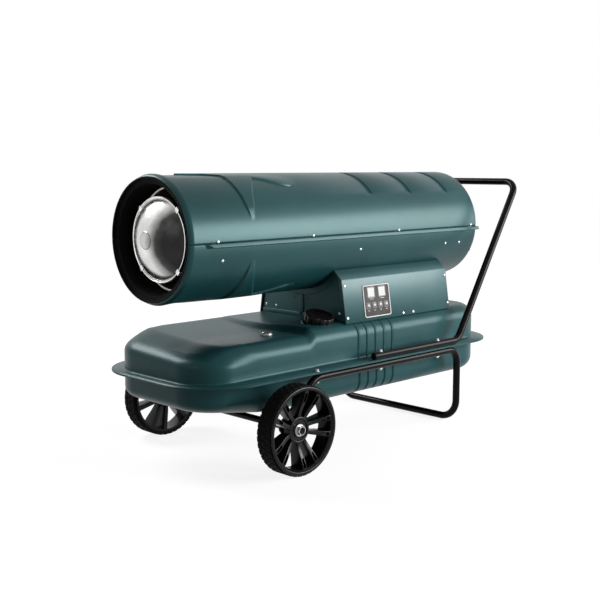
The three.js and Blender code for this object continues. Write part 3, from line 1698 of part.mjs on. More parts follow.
// A tyre band with rows of square lugs, each row half a pitch on from the last.
function wheelTyre() {
  const rowWidth = (wheelWidth - rimLipDepth - seatGap) / treadRows;
  const bore = rimRadius + seatGap;
  const rows = Array.from({ length: treadRows }, (_, row) => {
    const outline = [];
    for (let k = 0; k < treadLugs; k += 1) {
      const pitch = 2 * Math.PI / treadLugs;
      const start = -Math.PI / 2 + pitch * (k + (row % 2) / 2);
      const end = start + pitch * treadLugShare;
      const foot = pitch * treadFootShare;
      const floor = wheelRadius - treadDepth;
      const lug = [[start - foot, floor], [start, wheelRadius], [end, wheelRadius], [end + foot, floor]];
      lug.forEach(([angle, radius]) => outline.push([radius * Math.cos(angle), radius * Math.sin(angle)]));
    }
    const from = -wheelFace + rimLipDepth + seatGap + rowWidth * row;
    return plateY(shapeOf(outline), from, from + rowWidth);
  });
  return cut(join(...rows), barY(bore, -wheelFace, -wheelInside + overrun, 0, 0, ringSides));
}

function wheelNut() {
  const inner = -hubFace - seatGap;
  const seat = inner - washerThickness;
  const washer = barY(washerRadius, seat, inner, 0, 0);
  const nut = barY(nutRadius, seat - nutHeight, seat + washerThickness / 2, 0, 0, hexSides);
  const thread = barY((axleRadius + seatGap) / smallFlat, -wheelFace, -hubFace + overrun, 0, 0);
  return cut(join(washer, nut), thread);
}

// The barrel
piece('casing_upper', casingUpper(), paint);
piece('casing_lower', casingLower(), paint);
piece('outlet_collar', outletCollar(), soot);
piece('combustion_chamber', combustionChamber(), stainless);
const braceBore = chamberRadius + seatGap;
piece('chamber_brace_front', bandWithLegs(
  mouth + frontBraceSetback, braceWidth, braceBore, braceThickness, chamberBraces, braceAngle, braceThickness,
), zinc);
piece('chamber_brace_rear', bandWithLegs(
  mouth + rearBraceSetback, braceWidth, braceBore, braceThickness, chamberBraces, braceAngle, braceThickness,
), zinc);
piece('heat_spreader', heatSpreader(), stainless);
piece('spreader_holder', spreaderHolder(), stainless);
piece('blast_tube', blastTube(), zinc);
piece('flame_disc', flameDisc(), stainless);
piece('burner_carrier', burnerCarrier(), zinc);
piece('fuel_nozzle', fuelNozzle(), brass);
piece('electrode_near', electrode(-1), ceramic);
piece('electrode_far', electrode(1), ceramic);
piece('nozzle_pipe', nozzlePipe(), copper);
piece('fuel_pump', fuelPump(), motorGrey);
piece('fan_motor', fanMotor(), motorGrey);
piece('motor_mount', bandWithLegs(
  motorFront + motorLength / 2 - motorBandWidth / 2, motorBandWidth, (motorRadius + seatGap) / ringFlat,
  motorBandThickness, motorArms, motorArmAngle, motorArmThickness,
), zinc);
piece('motor_shaft', motorShaft(), zinc);
piece('fan', fan(), zinc);
piece('intake_grille', intakeGrille(), black);

// The housing and its controls
piece('housing_front_panel', housingFrontPanel(), paint);
piece('housing_rear_panel', housingRearPanel(), paint);
piece('housing_floor', housingFloor(), zinc);
piece('housing_far_cover', sideCover(mirrored(coverLine), -sheet), paint);
piece('control_cover', controlCover(), paint);
piece('ignition_transformer', ignitionTransformer(), motorGrey);
piece('power_inlet', powerInlet(), plastic);
const face = new THREE.Group();
face.rotation.x = faceTilt;
face.position.set(housingFront, -housingFoot, footHeight);
frame.add(face);
face.add(piece('display_plate', displayPlate(), legend));
face.add(piece('circuit_board', circuitBoard(), board));
windowPlaces.forEach((x, k) => face.add(piece(`display_${k + 1}`, displayWindow(x), pale)));
buttonPlaces.forEach((x, k) => face.add(piece(`button_${k + 1}`, pushButton(x), pale)));

// The tank
piece('tank_upper', tankUpper(), paint);
piece('tank_lower', tankLower(), paint);
const filler = new THREE.Group();
filler.rotation.x = radians(neckTilt);
filler.position.set(fillerX, -neckOffset, raisedDeckHeight);
frame.add(filler);
filler.add(piece('filler_neck', fillerNeck(), zinc));
filler.add(piece('cap_core', capCore(), rubber));
filler.add(piece('cap_grip', capGrip(), plastic));
piece('gauge_body', gaugeBody(), zinc);
piece('gauge_lens', gaugeLens(), clear);
piece('gauge_needle', gaugeNeedle(), black);
piece('float_arm', floatArm(), brass);
piece('drain_plug', drainPlug(), zinc);
piece('suction_pipe', suctionPipe(), copper);

// The running gear
piece('leg_frame', legFrame(), black);
piece('handle', handle(), black);
piece('handle_plug_near', handlePlug(-1), plastic);
piece('handle_plug_far', handlePlug(1), plastic);
piece('axle', axle(), black);
piece('axle_bracket_near', axleBracket(-1), black);
piece('axle_bracket_far', axleBracket(1), black);
[['near', 0], ['far', Math.PI]].forEach(([side, turn]) => {
  const wheel = new THREE.Group();
  wheel.rotation.z = turn;
  wheel.position.z = wheelRadius;
  frame.add(wheel);
  wheel.add(piece(`wheel_rim_${side}`, wheelRim(), plastic));
  wheel.add(piece(`wheel_tyre_${side}`, wheelTyre(), rubber));
  wheel.add(piece(`wheel_nut_${side}`, wheelNut(), zinc));
});

// The part's origin is on the floor under the middle of its overall length.
const extent = new THREE.Box3().setFromObject(frame);
frame.position.x = -(extent.min.x + extent.max.x) / 2;

export default group;
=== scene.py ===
# %% [markdown]
# # A forced-air oil heater, modelled and dressed in Blender
# The heater is a steel barrel with a flame inside, carried on a flat fuel tank with two wheels.
# Its CAD solids have few facets, so each form that the eye follows is made again here, finely,
# and stands in the same place. All sizes are in millimetres, counted along X from the wheels' axle.

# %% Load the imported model
import math

import bmesh
import bpy
from mathutils import Matrix, Vector


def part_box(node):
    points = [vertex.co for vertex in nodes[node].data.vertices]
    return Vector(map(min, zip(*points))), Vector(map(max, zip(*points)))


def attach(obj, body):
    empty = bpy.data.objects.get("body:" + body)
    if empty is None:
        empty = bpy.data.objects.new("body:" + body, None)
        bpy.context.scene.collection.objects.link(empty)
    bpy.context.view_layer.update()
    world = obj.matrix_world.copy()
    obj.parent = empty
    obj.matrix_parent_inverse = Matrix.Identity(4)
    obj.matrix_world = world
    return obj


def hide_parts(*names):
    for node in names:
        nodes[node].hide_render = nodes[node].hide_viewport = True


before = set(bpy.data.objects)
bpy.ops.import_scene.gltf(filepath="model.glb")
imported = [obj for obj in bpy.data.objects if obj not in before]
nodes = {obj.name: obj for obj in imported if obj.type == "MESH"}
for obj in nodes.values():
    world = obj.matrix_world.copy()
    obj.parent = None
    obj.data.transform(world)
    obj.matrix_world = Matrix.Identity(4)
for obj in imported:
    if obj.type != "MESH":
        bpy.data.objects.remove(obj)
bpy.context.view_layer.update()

# %% [markdown]
# ## Millimetres to the model's own frame
# Blender works in metres about the middle of the model. One matrix at the end of each piece moves
# it there, so a piece can be drawn in the sizes that a drawing of the heater would give.

# %% The step from millimetres to the model's frame
MM = 0.001
axle_low, axle_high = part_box("axle")
AXLE_X = (axle_low.x + axle_high.x) / 2
TO_ROW = Matrix.Translation((AXLE_X, 0, 0)) @ Matrix.Scale(MM, 4)
print("the axle is at x =", round(AXLE_X, 5))


def in_mm(node):
    """The lowest and highest corner of a CAD node, in millimetres from the axle."""
    return [(corner - Vector((AXLE_X, 0, 0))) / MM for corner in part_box(node)]


# %% Sizes that many pieces share
BARREL_RADIUS, BARREL_HEIGHT = 178, 636
MOUTH, TAIL = -261, 979
SHEET, TANK_SHEET = 1.5, 2
SEAT_GAP = 0.3
AXIS_X, AXIS_Y, AXIS_Z = Vector((1, 0, 0)), Vector((0, 1, 0)), Vector((0, 0, 1))
ORIGIN = Vector((0, 0, 0))
BARREL_MIDDLE = Vector((0, 0, BARREL_HEIGHT))

# %% [markdown]
# ## Camera, floor and light
# The camera stands to the left of the mouth and a little above it, as the photographer's did.
# A pale floor and soft lamps show the forms plainly. World and floor are white only where they are
# seen, mirrored or looked through, so the backdrop is white while the lamps light the heater.

# %% The camera
CAMERA_PLACE = (-1862.63, -2213.07, 832.74)
CAMERA_TURN, CAMERA_DROP = 45.55, 7.54
CAMERA_LENS, CAMERA_SENSOR = 60.54, 36
camera_data = bpy.data.cameras.new("camera")
camera_data.lens = CAMERA_LENS
camera_data.sensor_width = CAMERA_SENSOR
camera = bpy.data.objects.new("camera", camera_data)
bpy.context.scene.collection.objects.link(camera)
camera.location = TO_ROW @ Vector(CAMERA_PLACE)
camera.rotation_euler = (math.radians(90 - CAMERA_DROP), 0, math.radians(CAMERA_TURN - 90))
bpy.context.scene.camera = camera
bpy.context.scene.view_settings.view_transform = "Standard"
print("camera at", [round(c, 3) for c in camera.location])


# %% Helpers for node trees
def node_tree(owner):
    owner.use_nodes = True
    owner.node_tree.nodes.clear()
    return owner.node_tree


def add(tree, kind, inputs=None, **settings):
    """One shader node, with its settings, and its sockets given a value or another node's output."""
    node = tree.nodes.new(kind)
    for name, value in settings.items():
        setattr(node, name, value)
    for name, value in (inputs or {}).items():
        if isinstance(value, bpy.types.NodeSocket):
            tree.links.new(value, node.inputs[name])
        else:
            node.inputs[name].default_value = value
    return node


def calc(tree, operation, *values):
    return add(tree, "ShaderNodeMath", dict(enumerate(values)), operation=operation).outputs[0]


def calc_vector(tree, operation, output, *values):
    node = add(tree, "ShaderNodeVectorMath", dict(enumerate(values)), operation=operation)
    return node.outputs[output]


def spread(tree, value, start, end, low=0.0, high=1.0):
    """A value between start and end, stretched between low and high."""
    return add(tree, "ShaderNodeMapRange", {
        "Value": value, "From Min": start, "From Max": end, "To Min": low, "To Max": high}).outputs["Result"]


def object_place(tree):
    return add(tree, "ShaderNodeTexCoord").outputs["Object"]


def lit_or_seen(tree, lit, seen):
    """One shader for the light that falls on surfaces, another for what is seen, also in a mirror."""
    path = add(tree, "ShaderNodeLightPath").outputs
    direct = calc(tree, "MAXIMUM", path["Is Camera Ray"], path["Is Glossy Ray"])
    direct = calc(tree, "MAXIMUM", direct, path["Is Transmission Ray"])
    return add(tree, "ShaderNodeMixShader", {0: direct, 1: lit.outputs[0], 2: seen.outputs[0]}).outputs[0]


# %% The white surroundings
WORLD_LIGHT, WHITE = 0.03, (1, 1, 1, 1)
world = bpy.data.worlds.new("studio")
bpy.context.scene.world = world
tree = node_tree(world)
plain = add(tree, "ShaderNodeBackground", {"Color": WHITE, "Strength": WORLD_LIGHT})
shown = add(tree, "ShaderNodeBackground", {"Color": WHITE, "Strength": 1.0})
add(tree, "ShaderNodeOutputWorld", {"Surface": lit_or_seen(tree, plain, shown)})
print("surroundings light the heater at", WORLD_LIGHT)

# %% The floor
FLOOR_SIZE, FLOOR_GREY = 30, (0.20, 0.20, 0.20, 1)
GLOW_NEAR, GLOW_FAR = (0.9, 0.86), (2.4, 1.0)
bm = bmesh.new()
bmesh.ops.create_grid(bm, x_segments=1, y_segments=1, size=FLOOR_SIZE / 2)
floor_mesh = bpy.data.meshes.new("floor")
bm.to_mesh(floor_mesh)
bm.free()
floor = bpy.data.objects.new("floor", floor_mesh)
bpy.context.scene.collection.objects.link(floor)
floor_finish = bpy.data.materials.new("floor")
tree = node_tree(floor_finish)
matt = add(tree, "ShaderNodeBsdfDiffuse", {"Color": FLOOR_GREY})
away = calc_vector(tree, "LENGTH", "Value", object_place(tree))
glow = spread(tree, away, GLOW_NEAR[0], GLOW_FAR[0], GLOW_NEAR[1], GLOW_FAR[1])
white = add(tree, "ShaderNodeEmission", {"Color": WHITE, "Strength": glow})
both = add(tree, "ShaderNodeAddShader", {0: matt.outputs[0], 1: white.outputs[0]})
add(tree, "ShaderNodeOutputMaterial", {"Surface": lit_or_seen(tree, matt, both)})
floor_mesh.materials.append(floor_finish)

# %% Soft lamps
HEATER_MIDDLE, HEATER_FRONT = (0, 0, 0.45), (-0.5, 0, 0.35)
LAMPS = {  # place, aim, side length and power, in metres and watts
    "key": ((2.6, -2.3, 1.15), HEATER_MIDDLE, 1.6, 85),
    "side": ((1.5, -3.0, 1.12), HEATER_MIDDLE, 1.6, 130),
    "high": ((2.4, -2.2, 2.3), HEATER_MIDDLE, 1.6, 8),
    "front": ((-3.1, -0.6, 1.6), HEATER_MIDDLE, 1.2, 7),
    "back": ((-1.04, 2.14, 2.45), HEATER_FRONT, 1.3, 72),
}
for name, (place, aim, size, power) in LAMPS.items():
    data = bpy.data.lights.new(name, "AREA")
    data.shape = "SQUARE"
    data.size = size
    data.energy = power
    lamp = bpy.data.objects.new(name, data)
    bpy.context.scene.collection.objects.link(lamp)
    lamp.location = place
    lamp.rotation_euler = (Vector(aim) - Vector(place)).to_track_quat("-Z", "Y").to_euler()
print("lamps", list(LAMPS))

# %% [markdown]
# ## Finishes
# Nothing here uses a picture. Each finish is a shader whose colour, gloss and small bumps come from
# noise on Object coordinates, in metres, so a pattern has the same grain on every piece. The parts
# that are the same all over, such as how metallic a paint is, are set on the shader's own sockets.

# %% Helpers for finishes
NOISE_LOW, NOISE_HIGH = 0.3, 0.7


def start_finish(name, slot, roughness, metallic=0.0, **sockets):
    """A material with an empty tree and a shader, ready for its patterns."""
    finish = bpy.data.materials.new(name)
    tree = node_tree(finish)
    shader = add(tree, "ShaderNodeBsdfPrincipled", {"Roughness": roughness, "Metallic": metallic})
    for socket, value in sockets.items():
        shader.inputs[socket.replace("_", " ")].default_value = value
    add(tree, "ShaderNodeOutputMaterial", {"Surface": shader.outputs[0]})
    return finish, tree, shader, object_place(tree)


def noise(tree, place, scale, detail):
    return add(tree, "ShaderNodeTexNoise", {"Vector": place, "Scale": scale, "Detail": detail}).outputs["Fac"]


def ramp(tree, factor, stops):
    """A colour ramp from (place, colour) pairs."""
    node = add(tree, "ShaderNodeValToRGB", {"Fac": factor})
    points = node.color_ramp.elements
    while len(points) < len(stops):
        points.new(0.5)
    for point, (position, colour) in zip(points, stops):
        point.position = position
        point.color = (*colour, 1)
    return node.outputs["Color"]


def grey_ramp(tree, factor, stops):
    return ramp(tree, factor, [(position, (grey, grey, grey)) for position, grey in stops])


def multiplied(tree, first, second):
    return add(tree, "ShaderNodeMix", {0: 1.0, 6: first, 7: second},
               data_type="RGBA", blend_type="MULTIPLY").outputs[2]


def gloss(tree, shader, factor, low, high):
    """A roughness that follows a noise between two levels."""
    tree.links.new(spread(tree, factor, NOISE_LOW, NOISE_HIGH, low, high), shader.inputs["Roughness"])


def bumps(tree, shader, layers):
    """Small bumps, from (noise, height in metres) pairs, the coarser ones first."""
    inputs = {}
    for height, depth in layers:
        bump = add(tree, "ShaderNodeBump", {"Height": height, "Strength": 1.0, "Distance": depth, **inputs})
        inputs = {"Normal": bump.outputs["Normal"]}
    tree.links.new(bump.outputs["Normal"], shader.inputs["Normal"])


def shades(base, low, high):
    return [tuple(min(1, c * share) for c in base) for share in (low, high)]


def grained(name, slot, base, roughness, cloud, cloud_shades, veil, veil_spread, grain, depth, **sockets):
    """A finish with clouds in its colour, a veil in its gloss and a fine grain.

    cloud, veil and grain are the (scale, detail) of a noise each.
    """
    finish, tree, shader, place = start_finish(name, slot, roughness, **sockets)
    low, high = shades(base, *cloud_shades)
    clouds = ramp(tree, noise(tree, place, *cloud), [(NOISE_LOW, low), (NOISE_HIGH, high)])
    tree.links.new(clouds, shader.inputs["Base Color"])
    gloss(tree, shader, noise(tree, place, *veil), roughness - veil_spread[0], roughness + veil_spread[1])
    bumps(tree, shader, [(noise(tree, place, *grain), depth)])
    return finish


# %% [markdown]
# The paint is a dark teal with fine metal flakes. Sprayed sheet steel has a faint orange peel, a
# grain that sparkles under a lamp, and thin dust on it that makes some places a little duller.
# The control side cover's paint is paler, a painted sheen for the light on that face, and shines more broadly.

# %% Teal paint
FLAKE_STOPS = [(0.4, 0.9), (0.72, 1.12)]


def teal(name, strength, roughness, specular, peel, tint=0.62):
    finish, tree, shader, place = start_finish(
        name, "teal_paint", roughness, Specular_IOR_Level=specular, Specular_Tint=(tint, 1.0, 1.0, 1.0))
    low, high = shades([strength * c for c in TEAL], 0.86, 1.14)
    clouds = ramp(tree, noise(tree, place, 5.0, 4.0), [(0.35, low), (0.65, high)])
    flakes = grey_ramp(tree, noise(tree, place, 1400.0, 1.0), FLAKE_STOPS)
    tree.links.new(multiplied(tree, clouds, flakes), shader.inputs["Base Color"])
    gloss(tree, shader, noise(tree, place, 60.0, 4.0), roughness, roughness + 0.02)
    bumps(tree, shader, [(noise(tree, place, 260.0, 2.0), peel), (noise(tree, place, 1800.0, 1.0), peel / 6)])
    return finish


TEAL = (0.008, 0.041, 0.045)
barrel_paint = teal("barrel_paint", 1, 0.335, 0.28, 0.00005)
tank_paint = teal("tank_paint", 1, 0.34, 0.19, 0.00004)
panel_paint = teal("panel_paint", 1.25, 0.46, 0.42, 0.00006)
# The control side cover's paint is a paler copy of the teal: painted sheen.
cover_paint_painted_sheen = teal("cover_paint_painted_sheen", 1.4, 0.54, 0.85, 0.00006, tint=0.85)

# %% [markdown]
# The tube frame has a satin black powder coat, coarser than the teal. The mouth ring is matt,
# baked by the heat, and the tyres and the cap are black too, each with a grain of its own.


# %% Dark finishes
def dark(name, slot, base, roughness, grain, depth, **sockets):
    return grained(name, slot, base, roughness, (22.0, 5.0), (0.7, 1.5), (90.0, 4.0), (0.06, 0.08),
                   (grain, 3.0), depth, **sockets)


frame_black = dark("frame_black", "black_paint", (0.003, 0.002, 0.002), 0.14, 500.0, 0.00003,
                   Specular_IOR_Level=0.075)
soot_black = dark("soot_black", "heat_black", (0.003, 0.003, 0.003), 0.55, 300.0, 0.00005,
                  Specular_IOR_Level=0.04)
tyre_black = dark("tyre_black", "tyre_rubber", (0.004, 0.004, 0.004), 0.70, 420.0, 0.0001,
                  Specular_IOR_Level=0.05)
cap_black = dark("cap_black", "black_plastic", (0.004, 0.003, 0.003), 0.28, 700.0, 0.00005,
                 Specular_IOR_Level=0.14)
wheel_plastic = dark("wheel_plastic", "black_plastic", (0.004, 0.004, 0.004), 0.24, 900.0, 0.00002,
                     Specular_IOR_Level=0.15)
# This black is painted shade: it stands for the shade in the barrel's holes, and in the front panel's slots and
# pressed line.
painted_shade_black = dark("painted_shade_black", "rubber", (0.015, 0.014, 0.014), 0.7, 300.0, 0.0001)
motor_enamel = dark("motor_enamel", "motor_grey", (0.085, 0.092, 0.098), 0.5, 350.0, 0.00012)

# %% [markdown]
# Bright metal is never one flat grey. Rolled sheet has a fine grain, and plated screws are a little
# cloudy. The spreader is polished, so it only blurs what it mirrors. A painted dark reflection covers
# its near side, round a point outside its edge, and painted shade darkens the round mark in its middle, most at
# its edge.


# %% Bright metals
def bright(name, slot, base, roughness, veil_spread, grain, depth):
    return grained(name, slot, base, roughness, (30.0, 5.0), (0.82, 1), (grain, 4.0),
                   (veil_spread, veil_spread), (grain, 3.0), depth, metallic=1.0)


holder_steel = bright("holder_steel", "stainless", (0.93, 0.93, 0.92), 0.26, 0.08, 400.0, 0.00003)
zinc_plate = bright("zinc_plate", "zinc", (0.50, 0.51, 0.52), 0.36, 0.08, 300.0, 0.00004)
# The gauge ring's plating is darkened well below the zinc: painted shade that dims its highlight.
gauge_zinc_painted_shade = bright("gauge_zinc_painted_shade", "zinc", (0.17, 0.18, 0.18), 0.42, 0.06, 300.0, 0.00003)
brass_metal = bright("brass_metal", "brass", (0.36, 0.25, 0.10), 0.30, 0.06, 300.0, 0.00003)
copper_metal = bright("copper_metal", "copper", (0.62, 0.29, 0.17), 0.32, 0.06, 300.0, 0.00003)
spreader_steel = bright("spreader_steel", "stainless", (0.86, 0.86, 0.85), 0.24, 0.05, 55.0, 0.00008)

# Painted dark reflection: the near side of the dome is darkened round a point outside its edge, with a noisy rim.
DARK_REFLECTION_MIDDLE, DARK_REFLECTION_EDGE, REFLECTION_WOBBLE = (0, -0.140, 0.626), (0.094, 0.154), 0.025
DARK_REFLECTION_STOPS = [(0.0, (0.03, 0.03, 0.03)), (0.35, (0.07, 0.07, 0.07)), (0.68, (0.46, 0.46, 0.45)),
               (1.0, (0.84, 0.84, 0.83))]
# Painted shade: the raised round mark is darkened a little, and most in the groove at its edge.
BADGE_SHADE_EDGE = (0.018, 0.028)
BADGE_SHADE_STOPS = [(0.0, 0.80), (0.30, 0.80), (0.42, 0.42), (0.58, 0.42), (0.72, 1.0)]
tree = spreader_steel.node_tree
shader = next(n for n in tree.nodes if n.type == "BSDF_PRINCIPLED")
place = object_place(tree)
facing = calc_vector(tree, "MULTIPLY", "Vector", place, (0, 1, 1))
reflection_wobble = calc(tree, "MULTIPLY", noise(tree, place, 26.0, 5.0), REFLECTION_WOBBLE)
dark_reflection = calc(tree, "ADD", calc_vector(tree, "DISTANCE", "Value", facing, DARK_REFLECTION_MIDDLE), reflection_wobble)
dark_reflection = ramp(tree, spread(tree, dark_reflection, *DARK_REFLECTION_EDGE), DARK_REFLECTION_STOPS)
from_middle = calc_vector(tree, "DISTANCE", "Value", facing, BARREL_MIDDLE * MM)
mark = grey_ramp(tree, spread(tree, from_middle, *BADGE_SHADE_EDGE), BADGE_SHADE_STOPS)
reflection_darkened = multiplied(tree, shader.inputs["Base Color"].links[0].from_socket, dark_reflection)
tree.links.new(multiplied(tree, reflection_darkened, mark), shader.inputs["Base Color"])

# %% [markdown]
# The chamber is stainless sheet that the flame has tinted: pale blue-white at its mouth, and bands
# of straw and brown further in. The bands run round the chamber, so they follow X only.

# %% Heat-tinted steel
HEAT_REACH, HEAT_WANDER = 0.35, 0.05
HEAT_STOPS = [(0.00, (0.80, 0.84, 0.88)), (0.16, (0.78, 0.74, 0.62)), (0.34, (0.70, 0.42, 0.14)),
              (0.48, (0.30, 0.15, 0.10)), (0.62, (0.20, 0.22, 0.34)), (1.00, (0.16, 0.14, 0.13))]
chamber_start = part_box("combustion_chamber")[0].x
chamber_steel, tree, shader, place = start_finish("chamber_steel", "stainless", 0.36, 1.0)
along = add(tree, "ShaderNodeSeparateXYZ", {"Vector": place}).outputs["X"]
along = calc(tree, "ADD", along, calc(tree, "MULTIPLY", noise(tree, place, 9.0, 4.0), HEAT_WANDER))
bands = ramp(tree, spread(tree, along, chamber_start, chamber_start + HEAT_REACH), HEAT_STOPS)
tree.links.new(bands, shader.inputs["Base Color"])
gloss(tree, shader, noise(tree, place, 40.0, 5.0), 0.28, 0.46)
bumps(tree, shader, [(noise(tree, place, 35.0, 3.0), 0.0006), (noise(tree, place, 400.0, 2.0), 0.00004)])

# %% [markdown]
# The small parts: a printed legend film, pale windows and keys, the clear lens and dial of the
# gauge, fired ceramic, and the lacquered circuit board behind the legend plate.


# %% Plastics, film, ceramic and board
def plastic(name, slot, base, roughness, variation=0.12, **sockets):
    return grained(name, slot, base, roughness, (45.0, 4.0), (1 - variation, 1 + variation), (120.0, 3.0),
                   (0.04, 0.06), (900.0, 2.0), 0.00003, **sockets)


legend_film = plastic("legend_film", "legend_film", (0.040, 0.036, 0.034), 0.5, Specular_IOR_Level=0.12)
legend_white = plastic("legend_white", "legend_film", (0.52, 0.53, 0.52), 0.5, 0.04, Specular_IOR_Level=0.15)
window_bezel = plastic("window_bezel", "black_plastic", (0.030, 0.028, 0.028), 0.3)
window_white = plastic("window_white", "pale_plastic", (0.55, 0.56, 0.54), 0.4, 0.03, Specular_IOR_Level=0.2)
segment_grey = plastic("segment_grey", "pale_plastic", (0.30, 0.31, 0.31), 0.4, 0.05, Specular_IOR_Level=0.2)
key_white = plastic("key_white", "pale_plastic", (0.52, 0.53, 0.52), 0.45, 0.03, Specular_IOR_Level=0.2)
dial_black = plastic("dial_black", "black_plastic", (0.014, 0.013, 0.013), 0.5)
ceramic_white = plastic("ceramic_white", "ceramic", (0.80, 0.76, 0.66), 0.4, 0.06)
board_green = plastic("board_green", "board_green", (0.028, 0.135, 0.045), 0.35, 0.2, Coat_Weight=0.3)
clear_lens = plastic("clear_lens", "clear_lens", (0.95, 0.96, 0.96), 0.06, 0.02,
                     Transmission_Weight=1.0, IOR=1.08)

# %% [markdown]
# ## Making pieces
# A piece starts from a few points or a primitive and is shaped by operators. These helpers hold the
# steps that come back in many pieces: turning an outline, softening edges, and finishing a mesh.

# %% Helpers for shapes
MERGE, TURN_MERGE, TOO_SMALL = 0.005, 0.002, 0.0005


def finish_piece(bm, name, finish, body="chassis", stands_for=(), smooth=32, outward=True):
    """Turns a bmesh in millimetres into a finished object that rides on a CAD body."""
    bmesh.ops.remove_doubles(bm, verts=bm.verts, dist=MERGE)
    bmesh.ops.dissolve_degenerate(bm, edges=bm.edges, dist=TOO_SMALL)
    if outward:
        bmesh.ops.recalc_face_normals(bm, faces=bm.faces)
    bm.transform(TO_ROW)
    mesh = bpy.data.meshes.new(name)
    bm.to_mesh(mesh)
    bm.free()
    mesh.shade_smooth()
    mesh.set_sharp_from_angle(angle=math.radians(smooth))
    mesh.materials.append(finish)
    piece = bpy.data.objects.new(name, mesh)
    bpy.context.scene.collection.objects.link(piece)
    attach(piece, body)
    if stands_for:
        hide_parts(*stands_for)
    print(name, "faces", len(mesh.polygons))
    return piece


def merge(bm, part):
    """Moves the mesh of a part that is ready into bm."""
    mesh = bpy.data.meshes.new("part")
    part.to_mesh(mesh)
    part.free()
    bm.from_mesh(mesh)
    bpy.data.meshes.remove(mesh)


def chain(bm, points, closed=False):
    """Vertices joined by edges, to be turned, extruded or bridged."""
    verts = [bm.verts.new(p) for p in points]
    pairs = list(zip(verts, verts[1:]))
    if closed:
        pairs.append((verts[-1], verts[0]))
    return verts, [bm.edges.new(pair) for pair in pairs]


def verts_of(made):
    return [v for v in made if isinstance(v, bmesh.types.BMVert)]


def pull_edges(bm, edges):
    """Extrudes edges in place, and gives the new vertices and the new edges."""
    made = bmesh.ops.extrude_edge_only(bm, edges=edges)["geom"]
    return verts_of(made), [e for e in made if isinstance(e, bmesh.types.BMEdge)]


def pull_faces(bm, faces, along):
    made = bmesh.ops.extrude_face_region(bm, geom=faces)["geom"]
    bmesh.ops.translate(bm, verts=verts_of(made), vec=along)


def plate_from(bm, outline, along):
    """A flat outline of points, closed by a face and pulled out along a vector."""
    pull_faces(bm, [bm.faces.new(chain(bm, outline, closed=True)[0])], along)


def turn_profile(bm, profile, axis, middle, steps, closed=True):
    """Turns (along, radius) pairs about an axis through middle."""
    across = AXIS_Z if abs(axis.dot(AXIS_Z)) < 0.7 else AXIS_X
    points = [middle + axis * along + across * radius for along, radius in profile]
    verts, edges = chain(bm, points, closed)
    bmesh.ops.spin(bm, geom=verts + edges, cent=middle, axis=axis, angle=math.tau, steps=steps,
                   use_merge=True, use_duplicate=False)
    bmesh.ops.remove_doubles(bm, verts=bm.verts, dist=TURN_MERGE)
    bmesh.ops.dissolve_degenerate(bm, edges=bm.edges, dist=TOO_SMALL)


def turned_piece(profile, axis, middle, steps, closed=True):
    bm = bmesh.new()
    turn_profile(bm, profile, axis, middle, steps, closed)
    return bm


def shifted(profile, along, radius=0):
    """A profile that is counted from a place on the axis and from a radius."""
    return [(along + a, radius + r) for a, r in profile]


def face_toward(bm, way):
    """Turns the faces of an open sheet so that most of their area looks one way."""
    bmesh.ops.recalc_face_normals(bm, faces=bm.faces)
    if sum(f.normal.dot(way) * f.calc_area() for f in bm.faces) < 0:
        bmesh.ops.reverse_faces(bm, faces=bm.faces)


def sharp_edges(bm, angle):
    limit = math.radians(angle)
    return [e for e in bm.edges if len(e.link_faces) == 2 and e.calc_face_angle(0) > limit]


def round_edges(bm, edges, width, segments):
    bmesh.ops.bevel(bm, geom=edges, offset=width, offset_type="OFFSET", segments=segments, profile=0.5,
                    affect="EDGES", clamp_overlap=True, material=-1)


def soften(bm, width, segments=2, angle=35):
    bmesh.ops.remove_doubles(bm, verts=bm.verts, dist=MERGE)
    bmesh.ops.recalc_face_normals(bm, faces=bm.faces)
    round_edges(bm, sharp_edges(bm, angle), width, segments)


def thicken(piece, thickness):
    wall = piece.modifiers.new("sheet", "SOLIDIFY")
    wall.thickness = thickness * MM
    wall.offset = -1
    wall.use_even_offset = True


def add_block(bm, low, high):
    """A box between two corners, as new vertices of bm."""
    low, high = Vector(low), Vector(high)
    place = Matrix.Translation((low + high) / 2) @ Matrix.Diagonal((high - low).to_4d())
    return bmesh.ops.create_cube(bm, size=1, matrix=place)["verts"]


def add_drum(bm, radius, foot, head, sides):
    """A drum from foot to head, two points on its axis."""
    foot, head = Vector(foot), Vector(head)
    turn = (head - foot).to_track_quat("Z", "Y").to_matrix().to_4x4()
    bmesh.ops.create_cone(bm, cap_ends=True, segments=sides, radius1=radius, radius2=radius,
                          depth=(head - foot).length, matrix=Matrix.Translation((foot + head) / 2) @ turn)


def arc_points(middle, radius, start, end, steps):
    """Points (u, v) on an arc, from one angle in degrees to another."""
    turn = [math.radians(start + (end - start) * k / steps) for k in range(steps + 1)]
    return [(middle[0] + radius * math.cos(t), middle[1] + radius * math.sin(t)) for t in turn]


def share_of(value, start, width):
    return min(max((value - start) / width, 0), 1)


def smooth_step(value, start, end):
    share = share_of(value, start, end - start)
    return share * share * (3 - 2 * share)


# %% [markdown]
# Screws and bolts come last in the making of the real heater, and their small bright heads are what
# makes it look real. One function turns a pan head with a round recess, standing on a surface.

# %% Screw heads and bolts
HEAD_EDGE, HEAD_ROUND = 0.35, (0, 18, 36, 54, 72)
RECESS_WIDE, RECESS_NARROW, RECESS_DEPTH = 0.16, 0.10, 0.45
HEAD_FOOT, HEAD_SIDES = -0.6, 20
WASHER_THICK, WASHER_SHARE, WASHER_SIDES, WASHER_SUNK = 1.2, 0.72, 28, 0.4


